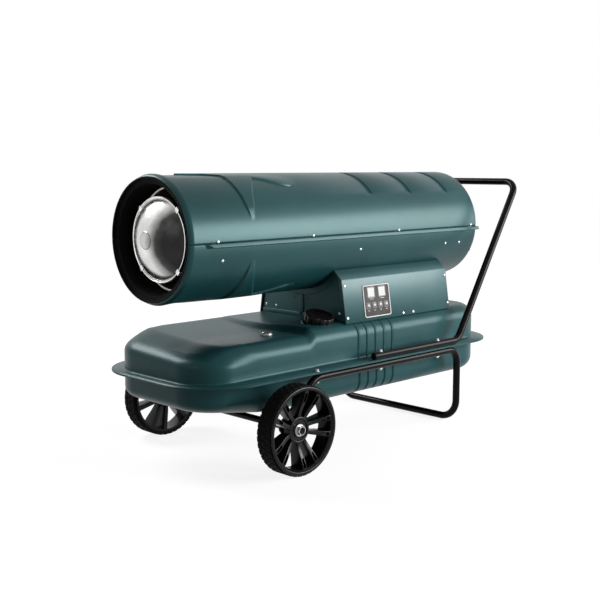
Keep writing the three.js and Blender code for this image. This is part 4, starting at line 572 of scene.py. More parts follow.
def add_screw(bm, place, normal, radius=4.6, height=3.2):
    """A pan head with its foot on the surface at place."""
    profile = [(HEAD_FOOT, 0), (HEAD_FOOT, radius)]
    for turn in map(math.radians, HEAD_ROUND):
        profile.append((height * (HEAD_EDGE + (1 - HEAD_EDGE) * math.sin(turn)), radius * math.cos(turn)))
    sunk = height * (1 - RECESS_DEPTH)
    profile += [(height, radius * RECESS_WIDE), (sunk, radius * RECESS_NARROW), (sunk, 0)]
    head = turned_piece(profile, AXIS_Z, ORIGIN, HEAD_SIDES, closed=False)
    turn = Vector(normal).to_track_quat("Z", "Y").to_matrix().to_4x4()
    head.transform(Matrix.Translation(place) @ turn)
    merge(bm, head)


def add_bolt(bm, place, normal, across=10, height=5):
    """A hexagon head on a thin washer, its foot on the surface at place."""
    place, normal = Vector(place), Vector(normal)
    add_drum(bm, across * WASHER_SHARE, place - normal * WASHER_SUNK, place + normal * WASHER_THICK,
             WASHER_SIDES)
    add_drum(bm, across / 2 / math.cos(math.pi / 6), place + normal * WASHER_THICK / 2,
             place + normal * (WASHER_THICK + height), 6)

# %% [markdown]
# ## The barrel
# Two half shells of pressed sheet are laid on each other and screwed along the sides. A grid bent
# round the barrel is the closest thing to the press: its columns stand where the sheet is creased,
# and each column says how far the sheet is raised or pressed in at each angle.

# %% Sizes of the pressed shells
MOUTH_RADIUS, MOUTH_BEVEL = 171, 15.4
TAIL_ROLL, TAIL_FLAT = 12, 24
SEAM_DROP, SEAM_SLIT = 3.5, 0.7
GROOVES, GROOVE_DEPTH, GROOVE_STEPS = [475, 663, 851], 4, 5
GROOVE_HALF, GROOVE_FLOOR_HALF = 12.5, 7
GROOVE_END, GROOVE_FADE = 40, 4
PRESS_HEIGHT = 4.5
PRESS_CREASE = [(18, -42), (28, -48), (38, -50), (52, -52), (66, -52), (74, -56), (83, -92), (90, -174)]
PRESS_SLANT = [(18, -34), (26, -28), (44, -7), (66, 38), (90, 60)]
PRESS_TIP, PRESS_FADE, PRESS_RIDGE = 18, 10, 66
PRESS_DIP, FRONT_DIP = (68, 82), (-246, -215)
CREASE_WALL, CREASE_SHARES = 2.4, (-0.6, 0, 1 / 3, 2 / 3, 1, 1.6)
SLANT_WALL, SLANT_SHARES = 8, (-0.2, 0, 0.2, 0.4, 0.6, 0.8, 1, 1.2)
FRONT_PLACES, REAR_STEPS = (-238, -230, -222, -214, -200), 16
PRESS_OUT, PRESS_END, PRESS_LAST = 130, 205, 215
RIDGE_RUN, RIDGE_DROP, RIDGE_SPREAD = (38, 167), 14, 22
RIDGE_OUT, RIDGE_NEAR, RIDGE_GAP = (175, PRESS_LAST), 1.5, 0.6
SHELL_STEPS = 128


def side_angle(angle):
    """Degrees above or below the barrel's side, the same on either side of it."""
    degrees = abs(math.degrees(angle))
    return 180 - degrees if degrees > 90 else degrees


def plain_radius(x):
    bevel = share_of(x, MOUTH, MOUTH_BEVEL)
    roll = share_of(x, TAIL - TAIL_ROLL, TAIL_ROLL)
    front = MOUTH_RADIUS + (BARREL_RADIUS - MOUTH_RADIUS) * bevel
    return front - TAIL_ROLL * (1 - math.sqrt(max(1 - roll * roll, 0)))


def plain_column(x):
    return (lambda angle: x), (lambda angle: 0)


def wall_columns(start, end, depth, steps, rising):
    """Columns across a pressed wall between two lines, with a soft S section."""
    columns = []
    for k in range(steps + 1):
        share = k / steps
        part = smooth_step(share if rising else 1 - share, 0, 1)
        columns.append((
            lambda angle, s=share: start(angle) + (end(angle) - start(angle)) * s,
            lambda angle, p=part: depth(angle) * p))
    return columns


# %% The front pressing and the grooves
def along_line(line, degrees):
    """The place along X of a pressed line at an angle, from its (angle, x) corners."""
    if degrees <= line[0][0]:
        return line[0][1]
    for (low, x_low), (high, x_high) in zip(line, line[1:]):
        if degrees <= high:
            return x_low + (x_high - x_low) * (degrees - low) / (high - low)
    return line[-1][1]


def raised_zone(angle):
    """The height of the pressed wedge. Over the top it comes down to the plain radius."""
    degrees = side_angle(angle)
    return PRESS_HEIGHT * (share_of(degrees, PRESS_TIP, PRESS_FADE) - smooth_step(degrees, *PRESS_DIP))


def front_zone(angle, x):
    """The sheet before the crease. Over the top it is sunk, so the crease stays as deep there."""
    return -PRESS_HEIGHT * smooth_step(side_angle(angle), *PRESS_DIP) * smooth_step(x, *FRONT_DIP)


def rear_zone(angle, x):
    """The sheet behind the slanted wall: only the ridge near the top goes on, and runs out."""
    if side_angle(angle) <= PRESS_RIDGE:
        return 0
    return raised_zone(angle) * (1 - smooth_step(x, PRESS_OUT, PRESS_END))


def press_columns():
    """The wedge: a wall up at the crease, a slanted wall back down, and the ridge behind it."""
    columns = []

    def add_column(at, rise):
        columns.append((at, lambda angle: -rise(angle)))

    def add_wall(line, width, shares, before, behind):
        for share in shares:
            part = smooth_step(share, 0, 1)
            add_column(lambda a, s=share: along_line(line, side_angle(a)) + width * s,
                       lambda a, p=part: before(a) * (1 - p) + behind(a) * p)

    for x in FRONT_PLACES:
        add_column(lambda a, x=x: x, lambda a, x=x: front_zone(a, x))
    add_wall(PRESS_CREASE, CREASE_WALL, CREASE_SHARES, lambda a: front_zone(a, 0), raised_zone)
    add_wall(PRESS_SLANT, SLANT_WALL, SLANT_SHARES, raised_zone, lambda a: rear_zone(a, 0))
    for k in range(1, REAR_STEPS + 1):
        def at(a, s=k / REAR_STEPS):
            foot = along_line(PRESS_SLANT, side_angle(a)) + SLANT_WALL * SLANT_SHARES[-1]
            return foot + (PRESS_LAST - foot) * s

        add_column(at, lambda a, at=at: rear_zone(a, at(a)))
    return columns


def ridge_warp(x, angle):
    """Rows near the ridge lean down behind the wedge, so that the ridge's wall follows them."""
    near = max(0, 1 - abs(side_angle(angle) - PRESS_RIDGE) / RIDGE_SPREAD)
    lean = RIDGE_DROP * near * smooth_step(x, *RIDGE_RUN) * (1 - smooth_step(x, *RIDGE_OUT))
    turn = math.copysign(math.radians(lean), angle)
    return angle + turn if abs(angle) > math.pi / 2 else angle - turn


def groove_columns(centre):
    def depth(angle):
        return GROOVE_DEPTH * share_of(side_angle(angle), GROOVE_END - GROOVE_FADE / 2, GROOVE_FADE)

    down = wall_columns(lambda a: centre - GROOVE_HALF, lambda a: centre - GROOVE_FLOOR_HALF, depth,
                        GROOVE_STEPS, True)
    up = wall_columns(lambda a: centre + GROOVE_FLOOR_HALF, lambda a: centre + GROOVE_HALF, depth,
                      GROOVE_STEPS, False)
    return down + up


def end_columns():
    """The bevelled rim at the mouth and the rolled rim at the tail."""
    mouth = [plain_column(MOUTH + run) for run in (0, MOUTH_BEVEL / 2, MOUTH_BEVEL, MOUTH_BEVEL + 0.8)]
    tail = [plain_column(TAIL - TAIL_FLAT)]
    tail += [plain_column(TAIL - TAIL_ROLL + TAIL_ROLL * math.sin(math.radians(a))) for a in range(0, 91, 10)]
    return mouth, tail


def on_ridge(angle):
    """Moves the rows on either side of the ridge close to it, so that its wall is narrow."""
    off = side_angle(angle) - PRESS_RIDGE
    if abs(off) > RIDGE_NEAR:
        return angle
    turn = math.copysign(math.radians(math.copysign(RIDGE_GAP, off) - off), angle)
    return angle - turn if abs(angle) > math.pi / 2 else angle + turn


def pressed_shell(half, columns, first, last, cut=None):
    """A half shell: a grid with a row of vertices for each column, bent round the barrel."""
    bm = bmesh.new()
    bmesh.ops.create_grid(bm, x_segments=len(columns) - 1, y_segments=SHELL_STEPS, size=1)
    for v in bm.verts:
        at, drop = columns[round((v.co.x + 1) / 2 * (len(columns) - 1))]
        angle = on_ridge(first + (last - first) * (v.co.y + 1) / 2)
        x = at(angle)
        radius = plain_radius(x) - drop(angle)
        angle = ridge_warp(x, angle)
        v.co = (x, -radius * math.cos(angle), BARREL_HEIGHT + radius * math.sin(angle))
    bm.normal_update()
    for face in bm.faces:
        middle = face.calc_center_median()
        if face.normal.dot(Vector((0, middle.y, middle.z - BARREL_HEIGHT))) < 0:
            face.normal_flip()
    if cut:
        bmesh.ops.delete(bm, geom=[f for f in bm.faces if cut(f.calc_center_median())], context="FACES")
    thicken(finish_piece(bm, "barrel_shell_" + half, barrel_paint, stands_for=("casing_" + half,), smooth=40,
                         outward=False), SHEET)


# %% The upper shell, with a slot for the guard's hook in its tail
SEAM_ANGLE = -math.asin(SEAM_DROP / BARREL_RADIUS)
HOOK_SLOT_ANGLE, HOOK_SLOT_HALF = math.radians(90 + 29), 5.5
mouth_columns, tail_columns = end_columns()


def in_hook_slot(place):
    off = math.atan2(place.z - BARREL_HEIGHT, -place.y) - HOOK_SLOT_ANGLE
    return place.x > TAIL - TAIL_FLAT and abs(off) * BARREL_RADIUS < HOOK_SLOT_HALF


columns = mouth_columns + press_columns()
for centre in GROOVES:
    columns += groove_columns(centre)
pressed_shell("upper", columns + tail_columns, SEAM_ANGLE, math.pi - SEAM_ANGLE, in_hook_slot)

# %% [markdown]
# The lower shell has the same rims and front pressing. Along the seam its edge is folded out into a
# bead, which starts with a slanted end a little behind the mouth.

# %% The lower shell, its bead and its lap strip
LOWER_EDGE = SEAM_ANGLE - SEAM_SLIT / BARREL_RADIUS
pressed_shell("lower", mouth_columns + press_columns() + tail_columns, LOWER_EDGE, -math.pi - LOWER_EDGE)

BEAD_START = MOUTH + 45
BEAD_SLANT, BEAD_RAKE = 20, 12
BEAD_DEPTH, BEAD_HEIGHT, BEAD_SUNK = 9, 12, 0.6
BEAD_ROUND = [(0.62, 0.04), (0.72, 0.10), (0.98, 0.66), (1, 0.76), (0.80, 0.88), (0.3, 0.97), (0, 1)]
bead_top = BARREL_HEIGHT + BARREL_RADIUS * math.sin(LOWER_EDGE)
bead_section = [(0, -0.3)] + [(BEAD_DEPTH * out, -BEAD_HEIGHT * down) for out, down in BEAD_ROUND]
bead_section += [(-2, -BEAD_HEIGHT), (-2, -0.3)]
for side, label in ((-1, "near"), (1, "far")):
    bm = bmesh.new()
    plate_from(bm, [Vector((BEAD_START, side * (BARREL_RADIUS - BEAD_SUNK + out), bead_top + rise))
                    for out, rise in bead_section], Vector((TAIL - BEAD_START, 0, 0)))
    for v in bm.verts:
        proud = abs(v.co.y) - BARREL_RADIUS + BEAD_SUNK
        if v.co.x < BEAD_START + 1:
            v.co.x += BEAD_SLANT * max(proud, 0) / BEAD_DEPTH + BEAD_RAKE * (bead_top - v.co.z) / BEAD_HEIGHT
    finish_piece(bm, "seam_bead_" + label, barrel_paint, smooth=18)

LAP_START, LAP_END, LAP_HALF, LAP_DEPTH = MOUTH + 160, TAIL - 45, 14, 3.6
bm = bmesh.new()
for side in (-1, 1):
    y = side * (BARREL_RADIUS - LAP_DEPTH)
    add_block(bm, (LAP_START, min(y, y + side), bead_top - LAP_HALF),
              (LAP_END, max(y, y + side), bead_top + LAP_HALF))
finish_piece(bm, "seam_lap", barrel_paint)

# %% [markdown]
# ## The hot end
# Inside the mouth is a black ring with a flat step, and behind it the chamber with its own front
# lip. The domed spreader hangs before the chamber in a bright ring on four legs.

# %% The mouth ring
COLLAR_RADIUS = 168.2
COLLAR_BORE = 153.2
COLLAR_STEP, COLLAR_LENGTH, COLLAR_TAPER = 11, 70, 3
back = MOUTH + COLLAR_LENGTH
step = MOUTH + COLLAR_STEP
profile = [(MOUTH + 0.4, COLLAR_RADIUS - SHEET), (MOUTH, COLLAR_RADIUS - SHEET / 2),
           (MOUTH + 0.4, COLLAR_RADIUS), (step, COLLAR_RADIUS), (step, COLLAR_BORE + 1.2),
           (step + 0.4, COLLAR_BORE + 0.3), (step + 1.4, COLLAR_BORE), (back, COLLAR_BORE - COLLAR_TAPER),
           (back, COLLAR_BORE - COLLAR_TAPER - SHEET), (step - SHEET + 1.2, COLLAR_BORE - SHEET),
           (step - SHEET + 0.2, COLLAR_BORE - SHEET + 0.4), (step - SHEET, COLLAR_BORE - SHEET + 1.4),
           (step - SHEET, COLLAR_RADIUS - SHEET - 1), (step - SHEET - 1, COLLAR_RADIUS - SHEET)]
finish_piece(turned_piece(profile, AXIS_X, BARREL_MIDDLE, 128), "mouth_ring", soot_black,
             stands_for=("outlet_collar",), smooth=50)

# %% The combustion chamber
CHAMBER_RADIUS = 145
CHAMBER_FRONT = MOUTH + 74
CHAMBER_REAR = CHAMBER_FRONT + 732
CONE_LENGTH, CONE_DROP, THROAT = 26, 40, 73
CHAMBER_BEADS = [CHAMBER_FRONT + 90 * k for k in range(1, 7)]
outer = [(CHAMBER_FRONT, CHAMBER_RADIUS - 1), (CHAMBER_FRONT + 1, CHAMBER_RADIUS)]
inner = [(CHAMBER_FRONT, CHAMBER_RADIUS - 5), (CHAMBER_FRONT + 1, CHAMBER_RADIUS - 6.2),
         (CHAMBER_FRONT + 2.4, CHAMBER_RADIUS - 5), (CHAMBER_FRONT + 3, CHAMBER_RADIUS - SHEET)]
for place in CHAMBER_BEADS:
    for along, rise in ((-5, 0), (-2.5, -1.0), (0, -1.6), (2.5, -1.0), (5, 0)):
        outer.append((place + along, CHAMBER_RADIUS + rise))
        inner.append((place + along, CHAMBER_RADIUS - SHEET + rise))
outer += [(CHAMBER_REAR - CONE_LENGTH, CHAMBER_RADIUS), (CHAMBER_REAR, CHAMBER_RADIUS - CONE_DROP),
          (CHAMBER_REAR, THROAT)]
inner += [(CHAMBER_REAR - CONE_LENGTH - SHEET, CHAMBER_RADIUS - SHEET),
          (CHAMBER_REAR - SHEET, CHAMBER_RADIUS - CONE_DROP - SHEET), (CHAMBER_REAR - SHEET, THROAT)]
finish_piece(turned_piece(outer + inner[::-1], AXIS_X, BARREL_MIDDLE, 96), "flame_chamber", chamber_steel,
             stands_for=("combustion_chamber",), smooth=40)

# %% [markdown]
# The spreader is a polished dome. On the real one the middle carries a raised round mark, so a plain
# raised disc with a thin ring round it stands there.

# %% The heat spreader
SPREADER_RADIUS, SPREADER_RISE = 112, 46
SPREADER_PLANE = CHAMBER_FRONT - 37
rim = SPREADER_PLANE - SEAT_GAP - SHEET
sphere = (SPREADER_RADIUS ** 2 + SPREADER_RISE ** 2) / (2 * SPREADER_RISE)


def dome(radius, behind=0):
    """A point (along, radius) of the dome's front, or a little behind it."""
    return rim - (math.sqrt(sphere ** 2 - radius ** 2) - (sphere - SPREADER_RISE)) + behind, radius


BADGE_RADIUS, BADGE_RISE = 24, 1.2
outer = [dome(r, -BADGE_RISE) for r in (0, 8, 16, 21)]
outer += [dome(22, -BADGE_RISE - 0.5), dome(23.4, -BADGE_RISE - 0.4),
          (dome(BADGE_RADIUS, -0.3)[0], BADGE_RADIUS + 0.4), dome(25.4)]
outer += [dome(r) for r in range(30, SPREADER_RADIUS, 4)]
outer += [dome(SPREADER_RADIUS), (rim + SHEET, SPREADER_RADIUS)]
inner = [dome(r, SHEET) for r in range(0, SPREADER_RADIUS, 8)]
finish_piece(turned_piece(outer + inner[::-1], AXIS_X, BARREL_MIDDLE, 128, closed=False), "flame_spreader",
             spreader_steel, stands_for=("heat_spreader",), smooth=28)

# %% The spreader's ring and legs
HOLDER_RADIUS, HOLDER_LIP, HOLDER_SEAT, HOLDER_THICK = 118, 5, 8, 2
HOLDER_LIP_WIDTH = 3.5
lip_round = HOLDER_LIP_WIDTH / 2
seat_radius = HOLDER_RADIUS - HOLDER_LIP_WIDTH - HOLDER_SEAT
ring = [(HOLDER_THICK, seat_radius), (HOLDER_THICK, HOLDER_RADIUS - 1), (HOLDER_THICK - 1, HOLDER_RADIUS)]
ring += [(-HOLDER_LIP + lip_round - v, HOLDER_RADIUS - lip_round + u)
         for u, v in arc_points((0, 0), lip_round, 0, 180, 8)]
ring += [(-0.4, HOLDER_RADIUS - HOLDER_LIP_WIDTH), (0, seat_radius + 6), (0, seat_radius)]
bm = turned_piece(shifted(ring, SPREADER_PLANE), AXIS_X, BARREL_MIDDLE, 128)
LEG_WIDTH, LEG_THICK, LEG_FOOT, LEG_WALL, CLIP_RISE = 14, 2.5, 22, 143, 5
leg_line = [(SPREADER_PLANE + 1, HOLDER_RADIUS - 3), (CHAMBER_FRONT + 6, LEG_WALL - 1.2),
            (CHAMBER_FRONT + 10, LEG_WALL), (CHAMBER_FRONT + 10 + LEG_FOOT, LEG_WALL)]
for k in range(4):
    leg = bmesh.new()
    outline = leg_line + [(x, r - LEG_THICK) for x, r in reversed(leg_line)]
    plate_from(leg, [Vector((x, -LEG_WIDTH / 2, r)) for x, r in outline], Vector((0, LEG_WIDTH, 0)))
    add_block(leg, (SPREADER_PLANE - HOLDER_LIP + 0.6, -LEG_WIDTH / 2, HOLDER_RADIUS - 9),
              (SPREADER_PLANE + HOLDER_THICK, LEG_WIDTH / 2, HOLDER_RADIUS + CLIP_RISE))
    soften(leg, 0.7)
    leg.transform(Matrix.Translation(BARREL_MIDDLE) @ Matrix.Rotation(math.radians(45 + 90 * k), 4, "X"))
    merge(bm, leg)
finish_piece(bm, "spreader_ring", holder_steel, stands_for=("spreader_holder",), smooth=40)

# %% [markdown]
# ## The tank
# Two pressed half shells meet at a flange. A loop of points that follows the tank's plan is pulled
# up step by step: out of the flange, up the wall with its pressed pleats, and over the shoulder.
# The upper shell's front bows down and the lower shell gets shallower towards it. The deck is
# bridged from side to side, because it rises to the far side and steps up before the filler.

# %% Sizes of the tank
FLANGE_PLAN = (-290, 1024, 268, 175)  # front, rear, half width, corner
WALL_FRONT, WALL_REAR, WALL_HALF, WALL_CORNER = -255, 989, 212, 115
FLANGE_LEVEL, DECK, RAISED_DECK, TANK_BOTTOM = 258, 354, 371, 150
SHOULDER, FILLET = 44, 7
STEP_FOOT, STEP_RUN, STEP_BOW, BOW_MIDDLE, BOW_HALF = 138, 38, 38, 40, 150
FAR_RISE, FAR_RISE_START, FAR_RISE_RUN = 15, -40, 208
FRONT_DROOP, DROOP_FADE = 22, (10, 110)
FRONT_LIFT, LIFT_FADE, LIFT_LEVEL = 30, (0, 270), FLANGE_LEVEL - 10
RAISED_BULGE, BULGE_FADE = 3, (780, 855)
SIDE_START, SIDE_END = -130, 860
PLEATS = [350 + 38.5 * k for k in range(5)]
PLEAT_HALF, PLEAT_DEPTH, PLEAT_FADE = 7, 4, (7, 12)
CORNER_STEPS, FILLET_STEPS, SHOULDER_STEPS, DECK_CUTS = 28, 5, 12, 13


def side_stations():
    """Places along the straight sides, close together at the step and in the pleats."""
    places = list(range(-90, 92, 12)) + list(range(94, 190, 3)) + list(range(196, 338, 12))
    places += [340 + 1.25 * k for k in range(141)]
    places += list(range(528, 840, 12))
    return places


def plan_loop(front, rear, half, corner):
    """The tank's plan from the front round the near side, and the same again on the far side."""
    near = arc_points((front + corner, -half + corner), corner, 180, 270, CORNER_STEPS)
    near += [(x, -half) for x in side_stations()]
    near += arc_points((rear - corner, -half + corner), corner, 270, 360, CORNER_STEPS)
    return near + [(x, -y) for x, y in reversed(near)]


def pleat_depth(x):
    nearest = min(abs(x - place) for place in PLEATS)
    return PLEAT_DEPTH * (0.5 + 0.5 * math.cos(math.pi * nearest / PLEAT_HALF)) if nearest < PLEAT_HALF else 0


def step_share(x, y):
    """How far up the deck's step a place is. The step's foot bows towards the front."""
    foot = STEP_FOOT - STEP_BOW * max(1 - ((y - BOW_MIDDLE) / BOW_HALF) ** 2, 0)
    return smooth_step(x, foot, foot + STEP_RUN)


def rise_of_deck(x, y):
    """The step up before the filler, and the front deck's slow rise towards the far side."""
    share = step_share(x, y)
    return (RAISED_DECK - DECK) * share + (1 - share) * FAR_RISE * share_of(y, FAR_RISE_START, FAR_RISE_RUN)


def front_distance(x, y):
    """How far a place is behind the front of the tank's plan, round corners included."""
    aside = min(max(abs(y) - (WALL_HALF - WALL_CORNER), 0), WALL_CORNER)
    return x - WALL_FRONT - WALL_CORNER + math.sqrt(WALL_CORNER ** 2 - aside ** 2)


def drooped(x, y, height):
    """The upper shell's front bows down, so its shoulder is broad there."""
    droop = FRONT_DROOP * (1 - smooth_step(front_distance(x, y), *DROOP_FADE))
    full = DECK + rise_of_deck(x, y) - FLANGE_LEVEL
    return height - droop * max(height - FLANGE_LEVEL - TANK_SHEET, 0) / full


def lifted(x, y, height):
    """The lower shell gets shallower towards the front."""
    lift = FRONT_LIFT * (1 - smooth_step(front_distance(x, y), *LIFT_FADE))
    return height + lift * max(LIFT_LEVEL - height, 0) / (LIFT_LEVEL - TANK_BOTTOM)


def tank_point(inset, height, x, y, raised, share):
    """One point of a wall or shoulder loop, with its pleat and the raised deck's bulge."""
    push = 0
    if abs(abs(y) - (WALL_HALF - inset)) < 0.01 and SIDE_START < x < SIDE_END:
        push = pleat_depth(x) * share
        if raised:
            push -= RAISED_BULGE * step_share(x, y) * (1 - smooth_step(x, *BULGE_FADE))
    height = drooped(x, y, height) if raised else lifted(x, y, height)
    return Vector((x, y - math.copysign(push, y), height))


def tank_shell(half, level, crown, sign):
    """A tank half from its flange to its crown. sign is 1 for the upper half and -1 for the lower."""
    raised = sign > 0

    def loop(inset, share, height):
        """A loop of points, whose height follows from the height of the crown over it."""
        points = plan_loop(WALL_FRONT + inset, WALL_REAR - inset, WALL_HALF - inset, WALL_CORNER - inset)
        return [tank_point(inset, height(crown + (rise_of_deck(x, y) if raised else 0)), x, y, raised, share)
                for x, y in points]

    rings = [[Vector((x, y, level)) for x, y in plan_loop(*FLANGE_PLAN)]]
    for k in range(FILLET_STEPS + 1):
        turn = math.radians(90 * k / FILLET_STEPS)
        rings.append(loop(-FILLET * (1 - math.sin(turn)), k / FILLET_STEPS,
                          lambda top: level + sign * FILLET * (1 - math.cos(turn))))
    foot = level + sign * FILLET
    for share in (0.5, 1.0):
        rings.append(loop(0, 1, lambda top: foot + (top - sign * SHOULDER - foot) * share))
    for k in range(1, SHOULDER_STEPS + 1):
        turn = math.radians(90 * k / SHOULDER_STEPS)
        rings.append(loop(SHOULDER * (1 - math.cos(turn)), 1 - smooth_step(k, *PLEAT_FADE),
                          lambda top: top - sign * SHOULDER * (1 - math.sin(turn))))
    bm = bmesh.new()
    verts, edges = chain(bm, rings[0], closed=True)
    for ring in rings[1:]:
        made, edges = pull_edges(bm, edges)
        made = set(made)
        verts = [next(e.other_vert(v) for e in v.link_edges if e.other_vert(v) in made) for v in verts]
        for v, place in zip(verts, ring):
            v.co = place
    middle = len(verts) // 2
    near, far = verts[:middle], verts[middle:][::-1]
    sides = [bm.edges.get(pair) for row in (near, far) for pair in zip(row, row[1:])]
    made = bmesh.ops.bridge_loops(bm, edges=sides)
    if raised:
        across = [e for e in made["edges"] if abs(e.verts[0].co.y - e.verts[1].co.y) > 20]
        inner = bmesh.ops.subdivide_edges(bm, edges=across, cuts=DECK_CUTS, use_grid_fill=True)["geom_inner"]
        for v in set(verts_of(inner)):
            v.co.z = drooped(v.co.x, v.co.y, crown + rise_of_deck(v.co.x, v.co.y))
    face_toward(bm, AXIS_Z * sign)
    thicken(finish_piece(bm, "tank_shell_" + half, tank_paint, stands_for=("tank_" + half,), smooth=45,
                         outward=False), TANK_SHEET)


# %% The two shells
tank_shell("upper", FLANGE_LEVEL + TANK_SHEET, DECK, 1)
tank_shell("lower", FLANGE_LEVEL - SEAT_GAP - TANK_SHEET, TANK_BOTTOM, -1)

# %% [markdown]
# ## The filler cap and the gauge
# The cap leans towards the user on a round boss pressed into the deck's corner. Its grip is a
# many-lobed knob of black plastic; the boss is a short turned wall that grows out of the shell.

# %% Where the filler leans
FILLER = Vector((255, -131, RAISED_DECK))
FILLER_TILT = 18
FILLER_PLACE = Matrix.Translation(FILLER) @ Matrix.Rotation(math.radians(FILLER_TILT), 4, "X")
BOSS_RADIUS, BOSS_DEPTH, BOSS_BORE = 50, 32, 33.5
profile = [(-BOSS_DEPTH, BOSS_RADIUS), (-3, BOSS_RADIUS), (-1, BOSS_RADIUS - 0.8), (-0.2, BOSS_RADIUS - 2.6),
           (0, BOSS_RADIUS - 5), (0, BOSS_BORE), (-TANK_SHEET, BOSS_BORE), (-TANK_SHEET, BOSS_RADIUS - 5),
           (-TANK_SHEET - 1, BOSS_RADIUS - TANK_SHEET), (-BOSS_DEPTH, BOSS_RADIUS - TANK_SHEET)]
bm = turned_piece(profile, AXIS_Z, ORIGIN, 96)
bm.transform(FILLER_PLACE)
finish_piece(bm, "filler_boss", tank_paint, smooth=45)

# %% The cap: three kinds of ring, the lobed wall, the lobed edge of its crown and the round top
CAP_RADIUS, CAP_BASE, CAP_CROWN = 45, 2.6, 4.5
CAP_TOP = CAP_BASE + 26
CAP_LOBES, CAP_LOBE_DIP, CAP_LOBE_SHARP = 12, 3.2, 0.55
LOBE_POINTS = 16
bm = bmesh.new()
bmesh.ops.create_circle(bm, cap_ends=False, segments=CAP_LOBES * LOBE_POINTS, radius=1)


def lobed(angle):
    wave = abs(math.cos(CAP_LOBES / 2 * angle))
    return CAP_RADIUS - CAP_LOBE_DIP * (1 - wave ** CAP_LOBE_SHARP)


edges = list(bm.edges)
rings = [(True, CAP_BASE, -4.0), (True, CAP_BASE, -0.8), (True, CAP_BASE + 0.8, 0), (True, CAP_TOP - CAP_CROWN, 0)]
rings += [(True, CAP_TOP - CAP_CROWN + v, u - CAP_CROWN) for u, v in
          [(CAP_CROWN * math.cos(math.radians(a)), CAP_CROWN * math.sin(math.radians(a))) for a in (20, 40, 60, 75, 90)]]
rings += [(False, CAP_TOP - 0.1, -CAP_CROWN - 4), (False, CAP_TOP - 1.6, -CAP_CROWN - 6),
          (False, CAP_TOP - 1.6, -CAP_CROWN - 26)]
for k, (follows_lobes, height, inset) in enumerate(rings):
    if k:
        edges = pull_edges(bm, edges)[1]
    for v in {v for e in edges for v in e.verts}:
        angle = math.atan2(v.co.y, v.co.x)
        radius = inset + (lobed(angle) if follows_lobes else CAP_RADIUS - CAP_LOBE_DIP / 2)
        v.co = (radius * math.cos(angle), radius * math.sin(angle), height)
bmesh.ops.contextual_create(bm, geom=edges)
bm.transform(FILLER_PLACE)
finish_piece(bm, "filler_cap", cap_black, body="cap_hand_grip", stands_for=("cap_grip",), smooth=38)

# %% [markdown]
# The fuel gauge is a bright ring round a black dial with a pale scale, under a clear disc. Its ring's
# plating is darkened: painted shade that dims its highlight.

# %% The gauge
GAUGE = Vector((68, -107, DECK))
GAUGE_RADIUS, GAUGE_FOOT = 18, 0.3
RING_SECTION = [(0, -7), (0, 0), (2.2, 0), (5.6, -1.2), (6.7, -2.2), (7, -3.0), (6.7, -3.6), (4.4, -4.6),
                (2.0, -4.8), (2.0, -7)]
DIAL_BORE, DIAL_RADIUS = 1.9, GAUGE_RADIUS - 4.8
bm = turned_piece(shifted(RING_SECTION, GAUGE_FOOT, GAUGE_RADIUS), AXIS_Z, GAUGE, 64)
finish_piece(bm, "gauge_ring", gauge_zinc_painted_shade, stands_for=("gauge_body",), smooth=35)
dial = [(1.2, DIAL_BORE), (2.2, DIAL_BORE), (2.2, DIAL_RADIUS), (1.2, DIAL_RADIUS)]
finish_piece(turned_piece(shifted(dial, GAUGE_FOOT), AXIS_Z, GAUGE, 48), "gauge_dial", dial_black)

SCALE_MARKS, SCALE_START, SCALE_STEP = 9, -20, 27.5
bm = bmesh.new()
for k in range(SCALE_MARKS):
    mark = add_block(bm, (-0.35, 9.0, 2.45), (0.35, 11.6 if k % 4 else 12.4, 2.6))
    turn = Matrix.Rotation(math.radians(SCALE_START + SCALE_STEP * k), 3, "Z")
    bmesh.ops.rotate(bm, verts=mark, cent=ORIGIN, matrix=turn)
bmesh.ops.translate(bm, verts=bm.verts, vec=GAUGE)
finish_piece(bm, "gauge_scale", segment_grey)

HAND_HALF, HAND_TAIL, HAND_REACH, HAND_TIP, PIVOT = 1.0, 2.2, 11.6, 0.25, 2.2
hand_z = in_mm("gauge_needle")[1].z
bm = bmesh.new()
hand = add_block(bm, (GAUGE.x - HAND_HALF, GAUGE.y - HAND_TAIL, hand_z - 1),
                 (GAUGE.x + HAND_HALF, GAUGE.y + HAND_REACH, hand_z))
for v in hand:
    if v.co.y > GAUGE.y:
        v.co.x = GAUGE.x + (v.co.x - GAUGE.x) * HAND_TIP
add_drum(bm, PIVOT, (GAUGE.x, GAUGE.y, hand_z - 1.2), (GAUGE.x, GAUGE.y, hand_z + 0.3), 24)
finish_piece(bm, "gauge_hand", brass_metal, body="needle", stands_for=("gauge_needle",))

LENS_RADIUS = 13.4
lens_foot, lens_top = (corner.z - DECK for corner in in_mm("gauge_lens"))
bm = turned_piece([(lens_foot, 0), (lens_foot, LENS_RADIUS), (lens_top - 0.6, LENS_RADIUS),
                   (lens_top - 0.1, LENS_RADIUS - 0.8), (lens_top, 0)], AXIS_Z, GAUGE, 48, closed=False)
finish_piece(bm, "gauge_glass", clear_lens, stands_for=("gauge_lens",), smooth=30)

# %% [markdown]
# ## The housing and its control face
# Folded sheet covers close the space between tank and barrel. The near one leans back a little and
# carries a printed plate with two windows and four keys.

